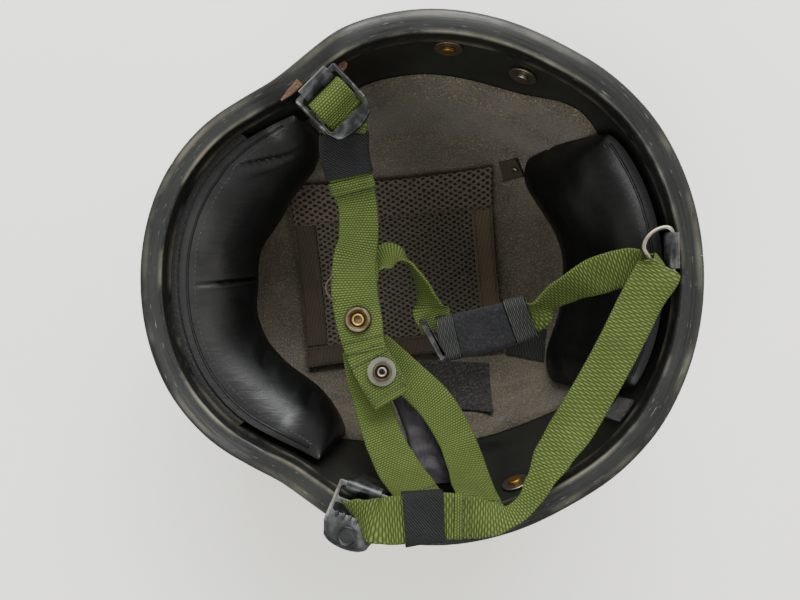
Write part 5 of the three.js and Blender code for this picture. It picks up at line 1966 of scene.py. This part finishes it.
def build_studs():
    """The press studs, the tab's stud and the flat slider where the arch strap starts."""
    for name, profile, (place, axis) in (
        ("press_socket", rounded_profile(SOCKET, 0.3), SOCKET_AT),
        ("press_socket_eyelet", rounded_profile(EYELET, 0.2), SOCKET_AT),
        ("press_socket_cup", CUP, SOCKET_AT),
        ("press_stud_washer", rounded_profile(WASHER), STUD_AT),
        ("press_stud", rounded_profile(STUD, 0.3), STUD_AT),
        ("press_stud_core", rounded_profile(CORE, 0.2), STUD_AT),
        ("press_stud_cup", CUP, STUD_AT),
    ):
        piece(name, turned(profile, 56, place, axis))
    inset = PAD_GRIP + CROWN_STEP + 1.4 + GAP + 0.9
    piece("tab_press_stud", turned(TAB_STUD, 32, on_wall(132, 115, inset), -wall_normal(132, 115)))
    outline = [(-2.0, -12), (2.0, -12), (2.0, 12), (-2.0, 12)]
    hole = [(0.7, -9.75), (1.3, -9.75), (1.3, 9.75), (0.7, 9.75)]
    lean = math.radians(-28)
    first = Vector((math.cos(lean), 0, -math.sin(lean)))
    second = Vector((-math.sin(lean), 0, -math.cos(lean)))
    body = plate(outline, [hole], 2.0, 0.4)
    merged("web_slider", [set_in(body, Vector((6.6, 43.5, -31.5)), first, second, Vector((0, 1, 0)))])


# Screws, by turn and depth
SCREWS = [
    ("left_ear_screw", 97.9, 20),
    ("left_rear_screw", 117.5, 30),
    ("right_rear_screw", -114, 30),
]


def build_screws():
    """Three screws through the wall, each with a washer inside."""
    inside = -WALL - 0.6
    end = inside - 1.3
    head = [(0, end - 1.8), (2.4, end - 1.7), (3.1, end - 1.4), (3.3, end - 1.1), (3.3, end), (2.2, end)]
    head += [(2.2, 0.3), (6, 0.3), (6, 0.8), (5.6, 1.1), (4.6, 1.6), (3.4, 2.0), (1.8, 2.3), (0, 2.4)]
    ring = rounded_profile([(2.6, inside - 1), (7.2, inside - 1), (7.2, inside), (2.6, inside)], 0.2)
    for name, turn, depth in SCREWS:
        outside = on_wall(turn, depth, 0)
        normal = wall_normal(turn, depth)
        piece("bolt_" + name, turned(head, 40, outside, normal), 30)
        piece("washer_" + name, turned(ring, 56, outside, normal), 30)


# Stage

# Lights: place, aim, width, height, power in watts and colour
LIGHTS = {
    "window": ((0.2, 1.25, 1.15), (0.0, 0.0, 0.1), 1.3, 0.7, 46.0, "#fbfcff"),
    "side": ((1.3, -0.1, 0.9), (0.0, 0.0, 0.12), 0.8, 0.8, 5.0, "#fff6ea"),
    "overhead": ((-0.5, -0.7, 1.5), (0.0, 0.0, 0.1), 1.0, 1.0, 19.0, "#ffffff"),
}
# Half the floor's width and its level, then the camera's place and the ways to its right and its back
FLOOR_REACH = 3.0
FLOOR_LEVEL = -0.0002
CAMERA_AT = (0.00114, -0.0042, 0.5555)
CAMERA_RIGHT = (0.9997, -0.0174, -0.0159)
CAMERA_BACK = (0.0162, 0.0151, 0.9998)


def build_floor():
    """A level floor just under the crown."""
    ways = [(-1, -1), (1, -1), (1, 1), (-1, 1)]
    corners = [(x * FLOOR_REACH, y * FLOOR_REACH, FLOOR_LEVEL) for x, y in ways]
    floor = bpy.data.meshes.new("floor")
    floor.from_pydata(corners, [], [(0, 1, 2, 3)])
    floor.materials.append(finish("pale_paper"))
    ground = bpy.data.objects.new("floor", floor)
    bpy.context.scene.collection.objects.link(ground)


def build_lights():
    """Area lights, each aimed at a point over the floor."""
    for name, (place, aim, wide, high, power, code) in LIGHTS.items():
        light = bpy.data.lights.new(name, "AREA")
        light.shape = "RECTANGLE"
        light.size = wide
        light.size_y = high
        light.energy = power
        light.color = shade(code)[:3]
        lamp = bpy.data.objects.new(name, light)
        lamp.location = place
        lamp.rotation_euler = (Vector(aim) - Vector(place)).to_track_quat("-Z", "Y").to_euler()
        bpy.context.scene.collection.objects.link(lamp)


def build_sky():
    """A soft room, brighter on the window's side."""
    sky = bpy.data.worlds.new("soft_room")
    sky.use_nodes = True
    tree = sky.node_tree
    tree.nodes.clear()
    way = put(tree, "ShaderNodeSeparateXYZ", {0: put(tree, "ShaderNodeTexCoord").outputs["Generated"]})
    level = put(
        tree,
        "ShaderNodeMapRange",
        {"Value": way.outputs[1], "From Min": -0.6, "From Max": 0.7, "To Min": 0.5, "To Max": 1.55},
        interpolation_type="SMOOTHSTEP",
    )
    glow = put(tree, "ShaderNodeBackground", {"Color": shade("#f2f3ee"), "Strength": level})
    put(tree, "ShaderNodeOutputWorld", {"Surface": glow})
    bpy.context.scene.world = sky


def build_camera():
    """The camera above the helmet, where the photograph was taken from."""
    lens = bpy.data.cameras.new("camera")
    lens.sensor_fit = "HORIZONTAL"
    lens.sensor_width = 36.0
    lens.lens = 36.0
    lens.clip_start = 0.01
    camera = bpy.data.objects.new("camera", lens)
    back = Vector(CAMERA_BACK).normalized()
    right = Vector(CAMERA_RIGHT)
    right = (right - back * right.dot(back)).normalized()
    up = back.cross(right)
    turn = Matrix([[right[k], up[k], back[k]] for k in range(3)]).to_4x4()
    camera.matrix_world = Matrix.Translation(CAMERA_AT) @ turn
    bpy.context.scene.collection.objects.link(camera)
    bpy.context.scene.camera = camera


# Add-on


def length(name, description, default, low):
    """A size that a user would change, in metres."""
    return FloatProperty(name=name, description=description, default=default, min=low, unit="LENGTH")


def colour(name, description, code):
    """A colour that a user would change, from its sRGB hex value."""
    return FloatVectorProperty(
        name=name,
        description=description,
        default=shade(code)[:3],
        min=0.0,
        max=1.0,
        size=3,
        subtype="COLOR",
    )


class HelmetSizes(bpy.types.PropertyGroup):
    """Sizes that a user would change."""

    web_width: length("Webbing width", "Width of the chin strap's webbing at its widest", 0.022, 0.01)
    web_thickness: length("Webbing thickness", "Thickness of the chin strap's webbing", 0.0016, 0.0005)
    lining_thickness: length("Lining thickness", "Thickness of the strap's soft lining", 0.0014, 0.0005)
    stitch_pitch: length("Stitch pitch", "Distance from one stitch of a seam to the next", 0.003, 0.0015)
    stitch_length: length("Stitch length", "Length of the thread that shows at each stitch", 0.0024, 0.001)
    thread_radius: length("Thread radius", "Half the thickness of the sewing thread", 0.00035, 0.0001)


class HelmetColours(bpy.types.PropertyGroup):
    """Colours that a user would change."""

    shell_paint: colour("Shell paint", "Lighter tone of the sprayed paint", "#262723")
    liner_felt: colour("Liner felt", "Middle tone of the pressed felt", "#5d5648")
    pad_leather: colour("Pad leather", "Lighter tone of the cushions' leather", "#0f1110")
    webbing: colour("Webbing", "Middle tone of the woven straps", "#445324")
    elastic: colour("Elastic", "Middle tone of the keepers", "#151717")
    lining_vinyl: colour("Lining", "Lighter tone of the strap's soft lining", "#201b1f")


class HELMET_OT_shell(bpy.types.Operator):
    """Builds the painted aramid shell"""

    bl_idname = "helmet.shell"
    bl_label = "Shell"

    def execute(self, context):
        build_shell()
        return {"FINISHED"}


class HELMET_OT_rim_trim(bpy.types.Operator):
    """Builds the two lengths of rubber channel on the rim"""

    bl_idname = "helmet.rim_trim"
    bl_label = "Rim trim"

    def execute(self, context):
        build_trim()
        return {"FINISHED"}


class HELMET_OT_liner(bpy.types.Operator):
    """Builds the pressed felt liner"""

    bl_idname = "helmet.liner"
    bl_label = "Felt liner"

    def execute(self, context):
        build_liner()
        return {"FINISHED"}


class HELMET_OT_wall_cushions(bpy.types.Operator):
    """Builds the two leather cushions on the wall"""

    bl_idname = "helmet.wall_cushions"
    bl_label = "Brow and nape cushions"

    def execute(self, context):
        build_pads()
        return {"FINISHED"}


class HELMET_OT_crown_cushion(bpy.types.Operator):
    """Builds the mesh cushion in the crown with its bindings"""

    bl_idname = "helmet.crown_cushion"
    bl_label = "Crown cushion"

    def execute(self, context):
        build_crown_pad()
        return {"FINISHED"}


class HELMET_OT_patches(bpy.types.Operator):
    """Builds the hook and loop patches, the ribbed tape and the snap tab"""

    bl_idname = "helmet.patches"
    bl_label = "Patches and tabs"

    def execute(self, context):
        build_patches()
        return {"FINISHED"}


class HELMET_OT_straps(bpy.types.Operator):
    """Builds the webbing of the chin strap and its lining"""

    bl_idname = "helmet.straps"
    bl_label = "Straps"

    def execute(self, context):
        build_straps()
        return {"FINISHED"}


class HELMET_OT_folds(bpy.types.Operator):
    """Builds the hems and folded ends of the webbing and the shims under the clip"""

    bl_idname = "helmet.folds"
    bl_label = "Folds and shims"

    def execute(self, context):
        build_folds()
        return {"FINISHED"}


class HELMET_OT_seams(bpy.types.Operator):
    """Builds the stitched seams and their piping"""

    bl_idname = "helmet.seams"
    bl_label = "Seams"

    def execute(self, context):
        build_seams()
        return {"FINISHED"}


class HELMET_OT_sleeves(bpy.types.Operator):
    """Builds the elastic keepers and the velour sleeve with its cuffs"""

    bl_idname = "helmet.sleeves"
    bl_label = "Keepers and sleeve"

    def execute(self, context):
        build_keepers()
        return {"FINISHED"}


class HELMET_OT_buckles(bpy.types.Operator):
    """Builds the two stamped buckles"""

    bl_idname = "helmet.buckles"
    bl_label = "Buckles"

    def execute(self, context):
        build_buckles()
        return {"FINISHED"}


class HELMET_OT_clips(bpy.types.Operator):
    """Builds the three rolled clips and the wire ring"""

    bl_idname = "helmet.clips"
    bl_label = "Clips and ring"

    def execute(self, context):
        build_clips()
        return {"FINISHED"}


class HELMET_OT_snaps(bpy.types.Operator):
    """Builds the press studs, the tab's stud and the strap slider"""

    bl_idname = "helmet.snaps"
    bl_label = "Press studs and slider"

    def execute(self, context):
        build_studs()
        return {"FINISHED"}


class HELMET_OT_screws(bpy.types.Operator):
    """Builds the three screws with their washers"""

    bl_idname = "helmet.screws"
    bl_label = "Screws"

    def execute(self, context):
        build_screws()
        return {"FINISHED"}


class HELMET_OT_stage(bpy.types.Operator):
    """Builds the floor, the lights and the camera"""

    bl_idname = "helmet.stage"
    bl_label = "Stage"

    def execute(self, context):
        build_floor()
        build_lights()
        build_sky()
        build_camera()
        return {"FINISHED"}


OPERATORS = (
    HELMET_OT_shell,
    HELMET_OT_rim_trim,
    HELMET_OT_liner,
    HELMET_OT_wall_cushions,
    HELMET_OT_crown_cushion,
    HELMET_OT_patches,
    HELMET_OT_straps,
    HELMET_OT_folds,
    HELMET_OT_seams,
    HELMET_OT_sleeves,
    HELMET_OT_buckles,
    HELMET_OT_clips,
    HELMET_OT_snaps,
    HELMET_OT_screws,
    HELMET_OT_stage,
)


class HELMET_PT_build(bpy.types.Panel):
    """Lists the helmet's pieces with their sizes and colours."""

    bl_idname = "HELMET_PT_build"
    bl_label = "Helmet"
    bl_space_type = "VIEW_3D"
    bl_region_type = "UI"
    bl_category = "Helmet"

    def draw(self, context):
        for group in (context.scene.helmet_sizes, context.scene.helmet_colours):
            column = self.layout.column()
            for name in group.bl_rna.properties.keys():
                if name not in ("rna_type", "name"):
                    column.prop(group, name)
        column = self.layout.column()
        for made in OPERATORS:
            column.operator(made.bl_idname)


CLASSES = (HelmetSizes, HelmetColours, *OPERATORS, HELMET_PT_build)


def register():
    """Makes the classes and their settings known."""
    for made in CLASSES:
        bpy.utils.register_class(made)
    bpy.types.Scene.helmet_sizes = PointerProperty(type=HelmetSizes)
    bpy.types.Scene.helmet_colours = PointerProperty(type=HelmetColours)


def unregister():
    """Takes the classes and their settings away again."""
    del bpy.types.Scene.helmet_colours
    del bpy.types.Scene.helmet_sizes
    for made in reversed(CLASSES):
        bpy.utils.unregister_class(made)


def main():
    """Builds the helmet by its operators."""
    register()
    bpy.ops.helmet.shell()
    bpy.ops.helmet.rim_trim()
    bpy.ops.helmet.liner()
    bpy.ops.helmet.wall_cushions()
    bpy.ops.helmet.crown_cushion()
    bpy.ops.helmet.patches()
    bpy.ops.helmet.straps()
    bpy.ops.helmet.folds()
    bpy.ops.helmet.seams()
    bpy.ops.helmet.sleeves()
    bpy.ops.helmet.buckles()
    bpy.ops.helmet.clips()
    bpy.ops.helmet.snaps()
    bpy.ops.helmet.screws()
    bpy.ops.helmet.stage()


if __name__ == "__main__":
    main()
